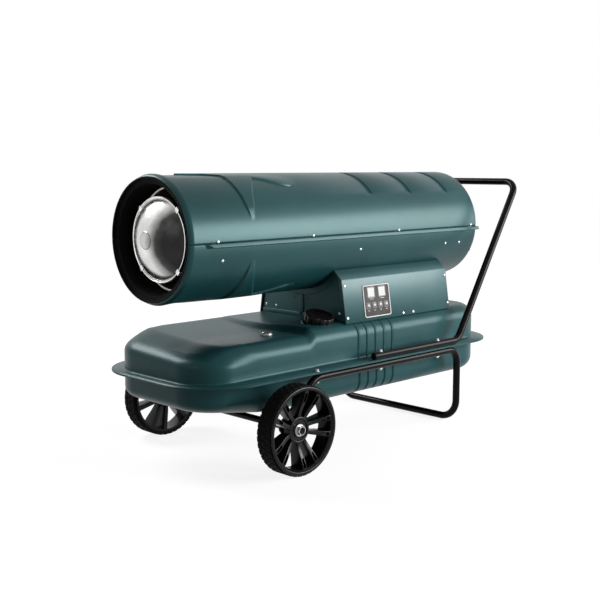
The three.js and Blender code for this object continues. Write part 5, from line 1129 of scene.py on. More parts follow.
# %% The folded covers
HOUSING_FRONT, HOUSING_REAR = 313, 817
FOOT_HALF, SHOULDER_HALF = 191, 171
FOOT_HEIGHT = in_mm("control_cover")[0].z
SHOULDER_HEIGHT = RAISED_DECK + 126
COVER_SLOPE, COVER_GAP = (27, 25), 1.8
COVER_LIP, LIP_FOOT, BEND_RADIUS, BEND_ANGLE = 12, RAISED_DECK + 2, 2.2, 15
slope = Vector(COVER_SLOPE).normalized()
drop = BARREL_HEIGHT - SHOULDER_HEIGHT
across = SHOULDER_HALF * slope.x + drop * slope.y
reach = BARREL_RADIUS + COVER_GAP
slope_length = across - math.sqrt(across ** 2 - (SHOULDER_HALF ** 2 + drop ** 2 - reach ** 2))
cover_line = [(-FOOT_HALF, FOOT_HEIGHT), (-SHOULDER_HALF, SHOULDER_HEIGHT),
              (-SHOULDER_HALF + slope.x * slope_length, SHOULDER_HEIGHT + slope.y * slope_length)]


def folded_cover(side, name, paint, replaced):
    """The sheet over one side: its face, its slope and the two lips folded round the end panels."""
    bm = bmesh.new()
    front_edges = chain(bm, [Vector((HOUSING_FRONT, side * -y, z)) for y, z in cover_line])[1]
    made, rear_edges = pull_edges(bm, front_edges)
    bmesh.ops.translate(bm, verts=made, vec=(HOUSING_REAR - HOUSING_FRONT, 0, 0))
    for edges in (front_edges, rear_edges):
        for v in pull_edges(bm, edges)[0]:
            v.co.y -= side * COVER_LIP
            v.co.z = max(v.co.z, LIP_FOOT)
    bmesh.ops.remove_doubles(bm, verts=bm.verts, dist=0.01)
    face_toward(bm, AXIS_Y * side)
    round_edges(bm, sharp_edges(bm, BEND_ANGLE), BEND_RADIUS, 4)
    thicken(finish_piece(bm, name, paint, stands_for=(replaced,), smooth=50, outward=False), SHEET)


folded_cover(-1, "control_side_cover", cover_paint_painted_sheen, "control_cover")
folded_cover(1, "far_side_cover", panel_paint, "housing_far_cover")

# %% [markdown]
# The end panels are flat sheets that saddle the barrel, so the saddle's arc is part of the outline
# of a plate. The front one has a foot flange and a stiffening rib. Its two slots and the thin line
# pressed round its saddle are black pieces on the sheet: painted shade for their hollows.

# %% The end panels
PANEL_INSET, PANEL_INSIDE = 3, 2.6
SADDLE = BARREL_RADIUS + 0.6
front = HOUSING_FRONT + PANEL_INSET
panel_half = [(FOOT_HALF - PANEL_INSIDE - 1.5, RAISED_DECK + 0.4),
              (SHOULDER_HALF - PANEL_INSIDE, SHOULDER_HEIGHT - 1), (-cover_line[2][0] - 1, cover_line[2][1] - 2)]


def end_panel(x, name, replaced):
    drop = panel_half[-1][1] - BARREL_HEIGHT
    start = math.degrees(math.atan2(drop, math.sqrt(SADDLE ** 2 - drop ** 2)))
    outline = panel_half + arc_points((0, BARREL_HEIGHT), SADDLE, start, -180 - start, 48)
    outline += [(-y, z) for y, z in reversed(panel_half)]
    bm = bmesh.new()
    plate_from(bm, [Vector((x, y, z)) for y, z in outline], AXIS_X * SHEET)
    finish_piece(bm, name, panel_paint, stands_for=(replaced,), smooth=30)


end_panel(front, "housing_front", "housing_front_panel")

# %% The front panel's flange and rib, and painted shade for its pressed line and slots
BAND, FOLD_DEPTH, FLANGE_INSET, RIB_HALF = 18, 3, 16, 9
half = FOOT_HALF - FLANGE_INSET
bm = bmesh.new()
add_block(bm, (front - FOLD_DEPTH, -half, RAISED_DECK + 0.3), (front + 0.5, half, RAISED_DECK + 12.3))
add_block(bm, (front - FOLD_DEPTH, -RIB_HALF, RAISED_DECK + 6),
          (front + 0.5, RIB_HALF, BARREL_HEIGHT - BARREL_RADIUS - BAND + 1))
soften(bm, 1.3, 3)
finish_piece(bm, "housing_front_fold", panel_paint)
# The pressed line is a thin black bead: painted shade for its groove.
LINE_SECTION = [(-0.35, 0), (-0.9, 0.9), (-0.35, 1.9), (0.3, 1.9), (0.3, 0)]
bm = turned_piece(shifted(LINE_SECTION, front, BARREL_RADIUS + BAND), AXIS_X, BARREL_MIDDLE, 160)
inside_y = panel_half[1][0] - 2
for cut_place, cut_normal in ((AXIS_Z * SHOULDER_HEIGHT, AXIS_Z), (AXIS_Y * inside_y, AXIS_Y),
                              (AXIS_Y * -inside_y, -AXIS_Y)):
    bmesh.ops.bisect_plane(bm, geom=bm.verts[:] + bm.edges[:] + bm.faces[:], plane_co=cut_place,
                           plane_no=cut_normal, clear_outer=True)
bmesh.ops.holes_fill(bm, edges=bm.edges, sides=8)
finish_piece(bm, "saddle_line_shade", painted_shade_black)
# The slots are thin black blocks on the panel: painted shade for their hollows.
SLOT_PLACES, SLOT_HALF, SLOT_LOW, SLOT_HIGH = (31, -26), 2.6, 423, 433.5
bm = bmesh.new()
for y in SLOT_PLACES:
    add_block(bm, (front - 0.25, y - SLOT_HALF, SLOT_LOW), (front + 0.4, y + SLOT_HALF, SLOT_HIGH))
soften(bm, 0.8)
finish_piece(bm, "panel_slot_shade", painted_shade_black)

# %% The rear panel
end_panel(HOUSING_REAR - PANEL_INSET - SHEET, "housing_rear", "housing_rear_panel")

# %% [markdown]
# The control face leans back, so its parts are drawn flat, counted along X and up the face, and one
# matrix leans them all. The legend plate is a printed film with a white line round it.

# %% The control face
face_rise = SHOULDER_HEIGHT - FOOT_HEIGHT
FACE_LEAN = -math.atan2(FOOT_HALF - SHOULDER_HALF, face_rise)
FACE_LENGTH = math.hypot(FOOT_HALF - SHOULDER_HALF, face_rise)
FACE_PLACE = Matrix.Translation((HOUSING_FRONT, -FOOT_HALF, FOOT_HEIGHT)) @ Matrix.Rotation(FACE_LEAN, 4, "X")
PLATE_LENGTH, PLATE_HEIGHT, PLATE_START, PLATE_DROP, PLATE_CORNER = 123, 100, 86, 23, 8
PRINT_BACK, PRINT_FRONT = -1.4, -1.66
plate_top = FACE_LENGTH - PLATE_DROP
plate_middle = PLATE_START + PLATE_LENGTH / 2
WINDOW_PITCH, WINDOW_LENGTH, WINDOW_HEIGHT, WINDOW_TOP = 50, 33, 33, 7
window_places = [plate_middle - WINDOW_PITCH / 2, plate_middle + WINDOW_PITCH / 2]
window_middle = plate_top - WINDOW_TOP - WINDOW_HEIGHT / 2
KEY_PITCH, KEY_RADIUS, KEY_DROP = 27.3, 5, 63
key_places = [plate_middle + KEY_PITCH * (k - 1.5) for k in range(4)]
key_height = plate_top - KEY_DROP


def shrunk(box, by_x, by_z):
    """A rectangle (x0, x1, z0, z1) made smaller on all sides."""
    x0, x1, z0, z1 = box
    return x0 + by_x, x1 - by_x, z0 + by_z, z1 - by_z


def rounded_outline(box, corner, y):
    x0, x1, z0, z1 = shrunk(box, corner, corner)
    points = []
    for middle, start in (((x1, z1), 0), ((x0, z1), 90), ((x0, z0), 180), ((x1, z0), 270)):
        points += arc_points(middle, corner, start, start + 90, 6)
    return [Vector((x, y, z)) for x, z in points]


def rounded_frame(bm, outer, inner, corner, front, back):
    """A flat frame between two rounded rectangles, each (x0, x1, z0, z1), as a closed solid."""
    loops = [chain(bm, rounded_outline(box, radius, y), closed=True)[1] for y in (front, back)
             for box, radius in ((outer, corner), (inner, max(corner - 1.5, 0.5)))]
    for a, b in ((0, 1), (1, 3), (3, 2), (2, 0)):
        bmesh.ops.bridge_loops(bm, edges=loops[a] + loops[b])


def lean_piece(bm, name, finish, **words):
    bm.transform(FACE_PLACE)
    finish_piece(bm, name, finish, **words)


plate = (PLATE_START, PLATE_START + PLATE_LENGTH, plate_top - PLATE_HEIGHT, plate_top)
bm = bmesh.new()
plate_from(bm, rounded_outline(plate, PLATE_CORNER, -0.3), Vector((0, -1.2, 0)))
soften(bm, 0.3, 2, 60)
lean_piece(bm, "legend_plate", legend_film, stands_for=("display_plate",))

# %% The white line round the plate
LINE_INSET, LINE_WIDTH, LINE_FRONT = 0.8, 3.0, -1.72
line_box = shrunk(plate, LINE_INSET, LINE_INSET)
bm = bmesh.new()
rounded_frame(bm, line_box, shrunk(line_box, LINE_WIDTH, LINE_WIDTH), PLATE_CORNER - 1, LINE_FRONT, PRINT_BACK)
lean_piece(bm, "plate_line", legend_white)

# %% The two windows
BEZEL, BEZEL_CORNER, BEZEL_FRONT = (3, 4), 2.5, -2.0
PANE, PANE_CORNER, PANE_BACK, PANE_DEPTH = (2.6, 3.6), 1.5, 12, -13.8
DIGIT_PITCH, DIGIT_BACK, DIGIT_FRONT = 12.4, -1.75, -1.95
FLAT_SEGMENT, TALL_SEGMENT = (2.8, 0.8), (0.8, 3.2)
SEGMENTS = [(0, z, FLAT_SEGMENT) for z in (0, 8.4, -8.4)]
SEGMENTS += [(x, z, TALL_SEGMENT) for z in (4.2, -4.2) for x in (3.6, -3.6)]
for number, middle in enumerate(window_places, 1):
    window = (middle - WINDOW_LENGTH / 2, middle + WINDOW_LENGTH / 2,
              window_middle - WINDOW_HEIGHT / 2, window_middle + WINDOW_HEIGHT / 2)
    bm = bmesh.new()
    rounded_frame(bm, window, shrunk(window, *BEZEL), BEZEL_CORNER, BEZEL_FRONT, PRINT_BACK)
    lean_piece(bm, f"window_frame_{number}", window_bezel)
    bm = bmesh.new()
    plate_from(bm, rounded_outline(shrunk(window, *PANE), PANE_CORNER, PANE_BACK), Vector((0, PANE_DEPTH, 0)))
    soften(bm, 0.3, 2, 60)
    lean_piece(bm, f"window_pane_{number}", window_white, stands_for=(f"display_{number}",))
    bm = bmesh.new()
    for digit in (-0.5, 0.5):
        for dx, dz, (half_x, half_z) in SEGMENTS:
            x, z = middle + digit * DIGIT_PITCH + dx, window_middle + dz
            add_block(bm, (x - half_x, DIGIT_FRONT, z - half_z), (x + half_x, DIGIT_BACK, z + half_z))
    lean_piece(bm, f"window_digits_{number}", segment_grey)

# %% The four keys, and the white marks of keys and windows
KEY_SECTION = [(1.2, 0), (1.2, KEY_RADIUS - 0.1), (2.2, KEY_RADIUS - 0.1), (2.9, KEY_RADIUS - 0.9),
               (3.3, KEY_RADIUS - 2.4), (3.5, 0)]
KEY_FRAME, KEY_FRAME_LOW, KEY_FRAME_HIGH, KEY_FRAME_WIDTH, KEY_FRAME_CORNER = 8, 10, 8, 0.8, 4
KEY_TICK, WINDOW_TICK = (4, -17, -15.4), (9, -44.6, -43.2)  # half length, low and high
for number, middle in enumerate(key_places, 1):
    key = turned_piece(KEY_SECTION, -AXIS_Y, Vector((middle, 0, key_height)), 40, closed=False)
    lean_piece(key, f"key_cap_{number}", key_white, body=f"key_{number}", stands_for=(f"button_{number}",),
               smooth=35)


def add_tick(bm, middle, height, tick):
    half, low, high = tick
    add_block(bm, (middle - half, PRINT_FRONT, height + low), (middle + half, PRINT_BACK, height + high))


bm = bmesh.new()
for middle in key_places:
    box = (middle - KEY_FRAME, middle + KEY_FRAME, key_height - KEY_FRAME_LOW, key_height + KEY_FRAME_HIGH)
    rounded_frame(bm, box, shrunk(box, KEY_FRAME_WIDTH, KEY_FRAME_WIDTH), KEY_FRAME_CORNER, PRINT_FRONT,
                  PRINT_BACK)
    add_tick(bm, middle, key_height, KEY_TICK)
for middle in window_places:
    add_tick(bm, middle, plate_top, WINDOW_TICK)
lean_piece(bm, "key_marks", legend_white)

# %% [markdown]
# ## The tube frame and the push handle
# Both are one bent steel tube each: cut to length, bent in one plane at a time, and bolted to the
# tank's flange. A ring is pulled along the middle line of the tube, with extra rings on each bend.

# %% A tube along a bent line
TUBE_RADIUS, TUBE_SIDES, BEND_STEPS = 11.5, 32, 16
RAIL_OFFSET = 256


def bent_line(corners, bends):
    """Points along straight runs and round bends, with a bend radius for each corner."""
    points = [corners[0]]
    for before, corner, after, bend in zip(corners, corners[1:], corners[2:], bends[1:]):
        into, out = (corner - before).normalized(), (after - corner).normalized()
        turn = into.angle(out)
        centre = corner + (out - into).normalized() * (bend / math.cos(turn / 2))
        start = corner - into * (bend * math.tan(turn / 2)) - centre
        axis = into.cross(out).normalized()
        points += [centre + Matrix.Rotation(turn * i / BEND_STEPS, 3, axis) @ start for i in range(BEND_STEPS + 1)]
    return points + [corners[-1]]


def bent_tube(name, line, bends, replaced):
    """A tube along a line in x and z on the near side and, walked backwards, on the far side."""
    corners = [Vector((x, -RAIL_OFFSET, z)) for x, z in line]
    corners += [Vector((x, RAIL_OFFSET, z)) for x, z in reversed(line)]
    points = bent_line(corners, bends + bends[::-1])
    bm = bmesh.new()
    ring = bmesh.ops.create_circle(bm, cap_ends=True, segments=TUBE_SIDES, radius=TUBE_RADIUS)["verts"]
    toward = (points[1] - points[0]).normalized()
    turn = AXIS_Z.rotation_difference(toward).to_matrix()
    for v in ring:
        v.co = points[0] + turn @ v.co
    edges = list({e for v in ring for e in v.link_edges})
    for k in range(1, len(points)):
        verts, edges = pull_edges(bm, edges)
        onward = (points[k] - points[k - 1]).normalized()
        if k + 1 < len(points):
            onward = (onward + (points[k + 1] - points[k]).normalized()).normalized()
        swing = toward.rotation_difference(onward).to_matrix()
        for v in verts:
            v.co = points[k] + swing @ (v.co - points[k - 1])
        toward = onward
    bmesh.ops.contextual_create(bm, geom=edges)
    finish_piece(bm, name, frame_black, stands_for=(replaced,), smooth=50)


# %% The leg frame
LEG_RAIL, LEG_REAR = 243.9, 775
SOCKET, LEG_TOP = (26, 158), (118, LEG_RAIL)
FRONT_BEND, LEG_BEND, FOOT_BEND = 60, 46, 60
LEG_LINE = [SOCKET, LEG_TOP, (LEG_REAR, LEG_RAIL), (LEG_REAR, TUBE_RADIUS + 0.1)]
bent_tube("leg_tube", LEG_LINE, [0, FRONT_BEND, LEG_BEND, FOOT_BEND], "leg_frame")

# %% The push handle and its end plugs
HANDLE_RAIL, HANDLE_START, HANDLE_CORNER, HANDLE_TOP, HANDLE_BEND = 271.9, 368, 777, 781, 46
PLUG_SECTION = [(4, -11.5), (4, -2.2), (0, -2.2), (-0.4, 0), (-2.6, -0.6), (-3.9, -3.2), (-4.2, -11.5)]
HANDLE_LINE = [(HANDLE_START, HANDLE_RAIL), (HANDLE_CORNER, HANDLE_RAIL),
               (in_mm("handle")[1].x - TUBE_RADIUS - 0.05, HANDLE_TOP)]
bent_tube("handle_tube", HANDLE_LINE, [0, HANDLE_BEND, HANDLE_BEND], "handle")
for side, word in ((-1, "near"), (1, "far")):
    bm = turned_piece(shifted(PLUG_SECTION, 0, TUBE_RADIUS), AXIS_X,
                      Vector((HANDLE_START, side * RAIL_OFFSET, HANDLE_RAIL)), 32, closed=False)
    finish_piece(bm, f"tube_plug_{word}", cap_black, stands_for=(f"handle_plug_{word}",), smooth=40)

# %% [markdown]
# A plate on each end of the axle carries a socket that the frame tube is pushed into.

# %% The axle and its brackets
WHEEL_RADIUS = 125
BOSS, EYE, PLATE = 22, 12.5, 8
SOCKET_SECTION = [(-3, 0), (-3, 12.6), (-1.8, 14.0), (25, 14.0), (26, 13.2), (26, TUBE_RADIUS - 0.2),
                  (20, TUBE_RADIUS - 0.2), (20, 0)]
to_socket = (SOCKET[0], SOCKET[1] - WHEEL_RADIUS)
lean = math.degrees(math.atan2(to_socket[1], to_socket[0]))
opening = math.degrees(math.acos((BOSS - EYE) / math.hypot(*to_socket)))
rail_slope = math.atan2(LEG_TOP[1] - SOCKET[1], LEG_TOP[0] - SOCKET[0])
slant = Vector((math.cos(rail_slope), 0, math.sin(rail_slope)))
for side, word in ((-1, "near"), (1, "far")):
    y = side * RAIL_OFFSET
    outline = arc_points((0, WHEEL_RADIUS), BOSS, lean + opening, lean - opening + 360, 40)
    outline += arc_points(SOCKET, EYE, lean - opening, lean + opening, 20)
    bm = bmesh.new()
    plate_from(bm, [Vector((x, y - PLATE / 2, z)) for x, z in outline], AXIS_Y * PLATE)
    soften(bm, 1.2, 3, 60)
    turn_profile(bm, SOCKET_SECTION, slant, Vector((SOCKET[0], y, SOCKET[1])), 36, closed=False)
    finish_piece(bm, f"bracket_{word}", frame_black, stands_for=(f"axle_bracket_{word}",), smooth=35)

AXLE_SECTION = [(-324.6, 0), (-324.6, 5.2), (-325.6, 7.4), (-325.6, 8.6), (-324.4, 9.8), (-277.9, 9.8),
                (-277.7, 13.4), (-277.2, 14.0), (-269.2, 14.0), (-268.7, 13.4), (-268.7, 9.8)]
profile = AXLE_SECTION + [(-along, radius) for along, radius in reversed(AXLE_SECTION)]
bm = turned_piece(profile, AXIS_Y, AXIS_Z * WHEEL_RADIUS, 48, closed=False)
finish_piece(bm, "axle_bar", frame_black, stands_for=("axle",), smooth=35)

# %% [markdown]
# ## The wheels
# Each wheel is one plastic moulding with a rubber tyre. Five pairs of spokes swing out from the hub,
# each with a long pocket near the rim. A spoke is a strip of faces whose pocket is sunk with the
# inset operator, pulled back to its depth, rounded at its edges and then dished outwards.

# %% Sizes of the wheel
WHEEL_FACE, WHEEL_INSIDE, HUB_FACE = 333, 278, 311
RIM, RIM_WALL, RIM_LIP, LIP_DEPTH = 113, 6, 121, 5
HUB_PLATE = 37
LIP_SECTION = [(1.8, -9.2), (0.5, -8.8), (0, -7.8), (0, -1.6), (0.5, -0.5), (1.6, 0), (5, 0), (5, -8),
               (55, -8), (55, -14), (7.5, -14), (6, -13.4)]
HUB_SECTION = [(-1.2, 9.9), (-1.2, 18.6), (1.4, 20.4), (1.4, 29.5), (-0.8, 30.5), (-1.6, 31.5), (-1.6, 35),
               (-0.6, 36.6), (0.6, 37), (16, 37), (16, 26), (32, 26), (33, 25), (33, 9.9)]
SPOKE_PAIRS, SPOKE_PHASE, TIP_SPREAD, ROOT_SPREAD = 5, 70, 25.5, 34
ROOT_WIDTH, TIP_WIDTH, SPOKE_DEPTH, DISH, SPOKE_EDGE = 11, 15, 31, 17, 1.5
SPOKE_STEPS = 40
POCKET_FROM, POCKET_TO, POCKET_DEPTH, POCKET_EDGE, POCKET_SLOPE = 0.52, 0.94, 6.5, 2.6, 0.7


def from_hub(place):
    return math.hypot(place.x, place.z)


def add_spoke(bm, tip, root):
    """One spoke in the plane of y, seen from -y, from the hub plate to inside the rim's wall."""
    inner, outer = HUB_PLATE - 1.5, RIM - RIM_WALL / 2
    strip = bmesh.new()
    rows = []
    for k in range(SPOKE_STEPS + 1):
        share = k / SPOKE_STEPS
        radius = inner + (outer - inner) * share
        turn = root + (tip - root) * math.sin(share * math.pi / 2)
        half = (ROOT_WIDTH + (TIP_WIDTH - ROOT_WIDTH) * share) / 2
        c, s = math.cos(turn), math.sin(turn)
        rows.append([Vector((radius * c - side * half * s, -HUB_FACE, radius * s + side * half * c))
                     for side in (1, -1)])
    edges = chain(strip, rows[0])[1]
    for row in rows[1:]:
        fresh, edges = pull_edges(strip, edges)
        fresh.sort(key=lambda v: (v.co - row[0]).length)
        fresh[0].co, fresh[1].co = row
    face_toward(strip, -AXIS_Y)
    pull_faces(strip, strip.faces[:], AXIS_Y * SPOKE_DEPTH)
    bmesh.ops.recalc_face_normals(strip, faces=strip.faces)
    low, high = (inner + (outer - inner) * share for share in (POCKET_FROM, POCKET_TO))
    seen = [f for f in strip.faces if all(abs(v.co.y + HUB_FACE) < 0.1 for v in f.verts)]
    rim_edges = [e for e in strip.edges if len(e.link_faces) == 2 and e.calc_face_angle(0) > 1.0]
    well = [f for f in seen if low < from_hub(f.calc_center_median()) < high]
    for width in (POCKET_EDGE, POCKET_SLOPE):
        bmesh.ops.inset_region(strip, faces=well, thickness=width, depth=0, use_even_offset=True)
    bmesh.ops.translate(strip, verts=list({v for f in well for v in f.verts}), vec=AXIS_Y * POCKET_DEPTH)
    round_edges(strip, [e for e in rim_edges if e.is_valid], SPOKE_EDGE, 3)
    for v in strip.verts:
        ahead = share_of(-v.co.y, HUB_FACE - SPOKE_DEPTH, SPOKE_DEPTH - POCKET_DEPTH - 1)
        v.co.y -= ahead * DISH * smooth_step(from_hub(v.co), HUB_PLATE, RIM - RIM_WALL)
    merge(bm, strip)


def moulding():
    bm = turned_piece(shifted(LIP_SECTION, -WHEEL_FACE, RIM_LIP), AXIS_Y, ORIGIN, 160)
    turn_profile(bm, shifted(HUB_SECTION, -HUB_FACE), AXIS_Y, ORIGIN, 72)
    for k in range(SPOKE_PAIRS):
        for side in (1, -1):
            middle = math.radians(SPOKE_PHASE) + math.tau * k / SPOKE_PAIRS
            add_spoke(bm, *(middle + side * math.radians(fan) / 2 for fan in (TIP_SPREAD, ROOT_SPREAD)))
    return bm


# %% The tyre
LUGS, LUG_ROWS, LUG_SHARE, LUG_FOOT, LUG_GAP = 40, 3, 0.74, 0.07, 0.3
TREAD, TYRE_GAP, TYRE_EDGE, LUG_SUNK = 1.8, 0.3, 0.8, 1.2


def tyre():
    front, back = -WHEEL_FACE + LIP_DEPTH + TYRE_GAP, -WHEEL_INSIDE
    base = WHEEL_RADIUS - TREAD
    band = [(front, RIM + TYRE_GAP), (front, base - TYRE_EDGE), (front + TYRE_EDGE, base),
            (back - TYRE_EDGE, base), (back, base - TYRE_EDGE), (back, RIM + TYRE_GAP)]
    bm = turned_piece(band, AXIS_Y, ORIGIN, 144)
    pitch, row_width = 360 / LUGS, (back - front) / LUG_ROWS
    foot = pitch * LUG_FOOT
    for row in range(LUG_ROWS):
        near = front + row_width * row + LUG_GAP / 2
        for k in range(LUGS):
            start = -90 + pitch * (k + (row % 2) / 2)
            end = start + pitch * LUG_SHARE
            outline = arc_points((0, 0), WHEEL_RADIUS, start, end, 4)
            outline += arc_points((0, 0), base - LUG_SUNK, end + foot, start - foot, 4)
            lug = bmesh.new()
            plate_from(lug, [Vector((x, near, z)) for x, z in outline], AXIS_Y * (row_width - LUG_GAP))
            soften(lug, 0.9, 2, 40)
            merge(bm, lug)
    return bm


# %% The nut on its washer
WASHER, WASHER_THICKNESS, NUT, NUT_HEIGHT, NUT_BORE, NUT_CROWN = 17, 2, 14, 11, 9.9, 1.6


def nut():
    seat = -HUB_FACE - 1.4
    top = seat - WASHER_THICKNESS
    bm = turned_piece([(seat, 10.2), (seat, WASHER), (top + 0.4, WASHER), (top, WASHER - 0.4), (top, 10.2)],
                      AXIS_Y, ORIGIN, 56)
    foot, head = seat - WASHER_THICKNESS / 2, -HUB_FACE - 0.2 - WASHER_THICKNESS - NUT_HEIGHT
    body = bmesh.new()
    loops = [chain(body, [Vector((x, y, z)) for x, z in arc_points((0, 0), NUT, 0, 300, 5)], closed=True)[1]
             for y in (foot, head + NUT_CROWN)]
    bmesh.ops.bridge_loops(body, edges=loops[0] + loops[1])
    bmesh.ops.subdivide_edges(body, edges=loops[0] + loops[1], cuts=5, use_grid_fill=False)
    ends, edges = ([e for e in body.edges if all(abs(v.co.y - y) < 0.01 for v in e.verts)]
                   for y in (foot, head + NUT_CROWN))
    for depth, radius in ((0, NUT * math.cos(math.pi / 6) - 0.6), (0, NUT_BORE + 0.5), (0.8, NUT_BORE)):
        verts, edges = pull_edges(body, edges)
        for v in verts:
            v.co = Vector((v.co.x, 0, v.co.z)).normalized() * radius + AXIS_Y * (head + depth)
    bmesh.ops.bridge_loops(body, edges=edges + ends)
    merge(bm, body)
    return bm


# %% Both wheels
for turned, word in ((0, "near"), (180, "far")):
    place = Matrix.Translation((0, 0, WHEEL_RADIUS)) @ Matrix.Rotation(math.radians(turned), 4, "Z")
    for make, node, finish, body, smooth in (
            (moulding, "wheel_rim_", wheel_plastic, f"wheel_{word}", 40),
            (tyre, "wheel_tyre_", tyre_black, f"wheel_{word}", 38),
            (nut, "wheel_nut_", zinc_plate, "chassis", 30)):
        bm = make()
        bm.transform(place)
        finish_piece(bm, f"wheel_{word}_{make.__name__}", finish, body=body, stands_for=(node + word,),
                     smooth=smooth)

# %% [markdown]
# ## Fan, motor and guard
# The motor hangs in the middle of the barrel's tail and drives a pressed sheet fan. The guard is
# welded from round wire, with a ring rolled into the barrel.

# %% The fan
FAN_RADIUS, FAN_HUB, BLADES, CHORD, PITCH, BLADE, SHAFT = 155, 30, 6, 78, 28, 2.2, 8.6
FAN_HALF, CHORD_ROOT, CAMBER = 17, 0.62, 1.6
BLADE_STEPS, BLADE_ACROSS, TIP_START = 14, 9, 0.55
fan_low, fan_high = in_mm("fan")
fan_middle = (fan_low.x + fan_high.x) / 2
fan_front, fan_rear = fan_middle - FAN_HALF, fan_middle + FAN_HALF
profile = [(fan_front, SHAFT), (fan_front, FAN_HUB - 1.5), (fan_front + 1.5, FAN_HUB), (fan_rear - 3, FAN_HUB),
           (fan_rear - 0.8, FAN_HUB - 1), (fan_rear, FAN_HUB - 3), (fan_rear, 17), (fan_rear - 2.5, 15.5),
           (fan_rear - 2.5, SHAFT)]
bm = turned_piece(profile, AXIS_X, BARREL_MIDDLE, 64)


def blade_row(share):
    """A row of places across a blade, at a share of its length. The tip is cut round."""
    radius = FAN_HUB - 2 + (FAN_RADIUS - FAN_HUB + 2) * share
    half = CHORD / 2 * (CHORD_ROOT + (1 - CHORD_ROOT) * math.sin(math.pi * min(share * 1.08, 1)))
    row = []
    for i in range(BLADE_ACROSS):
        u = -1 + 2 * i / (BLADE_ACROSS - 1)
        height = math.sqrt(max(radius ** 2 - (u * half) ** 2 * 0.9, 1)) if share > TIP_START else radius
        row.append(Vector((CAMBER * (u * u - 0.5), u * half, height)))
    return row


for k in range(BLADES):
    blade = bmesh.new()
    edges = chain(blade, blade_row(0))[1]
    for step in range(1, BLADE_STEPS + 1):
        fresh, edges = pull_edges(blade, edges)
        fresh.sort(key=lambda v: v.co.y)
        for v, place in zip(fresh, blade_row(step / BLADE_STEPS)):
            v.co = place
    bmesh.ops.recalc_face_normals(blade, faces=blade.faces)
    pull_faces(blade, blade.faces[:], AXIS_X * BLADE)
    turn = Matrix.Rotation(math.tau * k / BLADES, 4, "X") @ Matrix.Rotation(math.radians(PITCH), 4, "Z")
    blade.transform(Matrix.Translation((fan_middle, 0, BARREL_HEIGHT)) @ turn)
    merge(bm, blade)
finish_piece(bm, "fan_pressing", zinc_plate, body="rotor", stands_for=("fan",), smooth=40)

# %% The motor
MOTOR, MOTOR_GROOVES, MOTOR_EDGE = 60, 9, 26
MOTOR_END = [(0, SHAFT), (0, 22), (3, 24), (5, 40), (8, 50), (14, MOTOR - 3), (18, MOTOR)]
MOTOR_GROOVE = [(-2.4, 0), (-1.6, -2.2), (1.6, -2.2), (2.4, 0)]
start, end = (corner.x for corner in in_mm("fan_motor"))
profile = shifted(MOTOR_END, start)
for k in range(MOTOR_GROOVES):
    groove = start + MOTOR_EDGE + k * (end - start - 2 * MOTOR_EDGE) / (MOTOR_GROOVES - 1)
    profile += shifted(MOTOR_GROOVE, groove, MOTOR)
profile += [(end - along, radius) for along, radius in reversed(MOTOR_END)]
finish_piece(turned_piece(profile, AXIS_X, BARREL_MIDDLE, 72), "motor_case", motor_enamel,
             stands_for=("fan_motor",), smooth=35)

# %% The guard over the intake
WIRE, GUARD_RINGS, GUARD_SPOKES = 1.5, 9, 6
GUARD_HUB, GUARD_RIM, GUARD_EDGE = 22, 166, 176.2
SPOKE_FROM, SPOKE_TO = 18, 170
front, back = (corner.x for corner in in_mm("intake_grille"))
guard_x = (front + back) / 2
bm = bmesh.new()
for k in range(GUARD_RINGS):
    radius = GUARD_HUB + (GUARD_RIM - GUARD_HUB) * k / (GUARD_RINGS - 1)
    turn_profile(bm, arc_points((guard_x, radius), WIRE, 0, 315, 7), AXIS_X, BARREL_MIDDLE, 112)
turn_profile(bm, [(front, GUARD_RIM), (front, GUARD_EDGE), (back, GUARD_EDGE), (back, GUARD_RIM)],
             AXIS_X, BARREL_MIDDLE, 128)
turn_profile(bm, [(front, 0), (front, GUARD_HUB), (back - 1, GUARD_HUB), (back, GUARD_HUB - 2), (back, 0)],
             AXIS_X, BARREL_MIDDLE, 48, closed=False)
for k in range(GUARD_SPOKES):
    turn = math.tau * k / GUARD_SPOKES
    along = Vector((0, math.cos(turn), math.sin(turn)))
    start = BARREL_MIDDLE + Vector((guard_x - WIRE * 0.6, 0, 0))
    add_drum(bm, WIRE, start + along * SPOKE_FROM, start + along * SPOKE_TO, 12)
finish_piece(bm, "intake_guard", frame_black, stands_for=("intake_grille",), smooth=40)

# %% [markdown]
# ## Drain plug and power inlet
# The drain plug is a hexagon head under the tank, lifted to where the shell is shallower. The power
# inlet is a round socket with three pins on the back of the housing.

# %% The drain plug
DRAIN_HEAD, DRAIN_COLLAR = (9, 0.1, 5.6, 6), (8.6, 4.8, 6.2, 32)  # radius, foot, head and sides
drain_low, drain_high = in_mm("drain_plug")
drain = (drain_low + drain_high) / 2
bm = bmesh.new()
for radius, foot, head, sides in (DRAIN_HEAD, DRAIN_COLLAR):
    add_drum(bm, radius, (drain.x, drain.y, drain_low.z + foot), (drain.x, drain.y, drain_low.z + head), sides)
bmesh.ops.translate(bm, verts=bm.verts, vec=(0, 0, lifted(drain.x, drain.y, TANK_BOTTOM) - TANK_BOTTOM))
soften(bm, 0.5, 2, 50)
finish_piece(bm, "drain_screw", zinc_plate, stands_for=("drain_plug",))

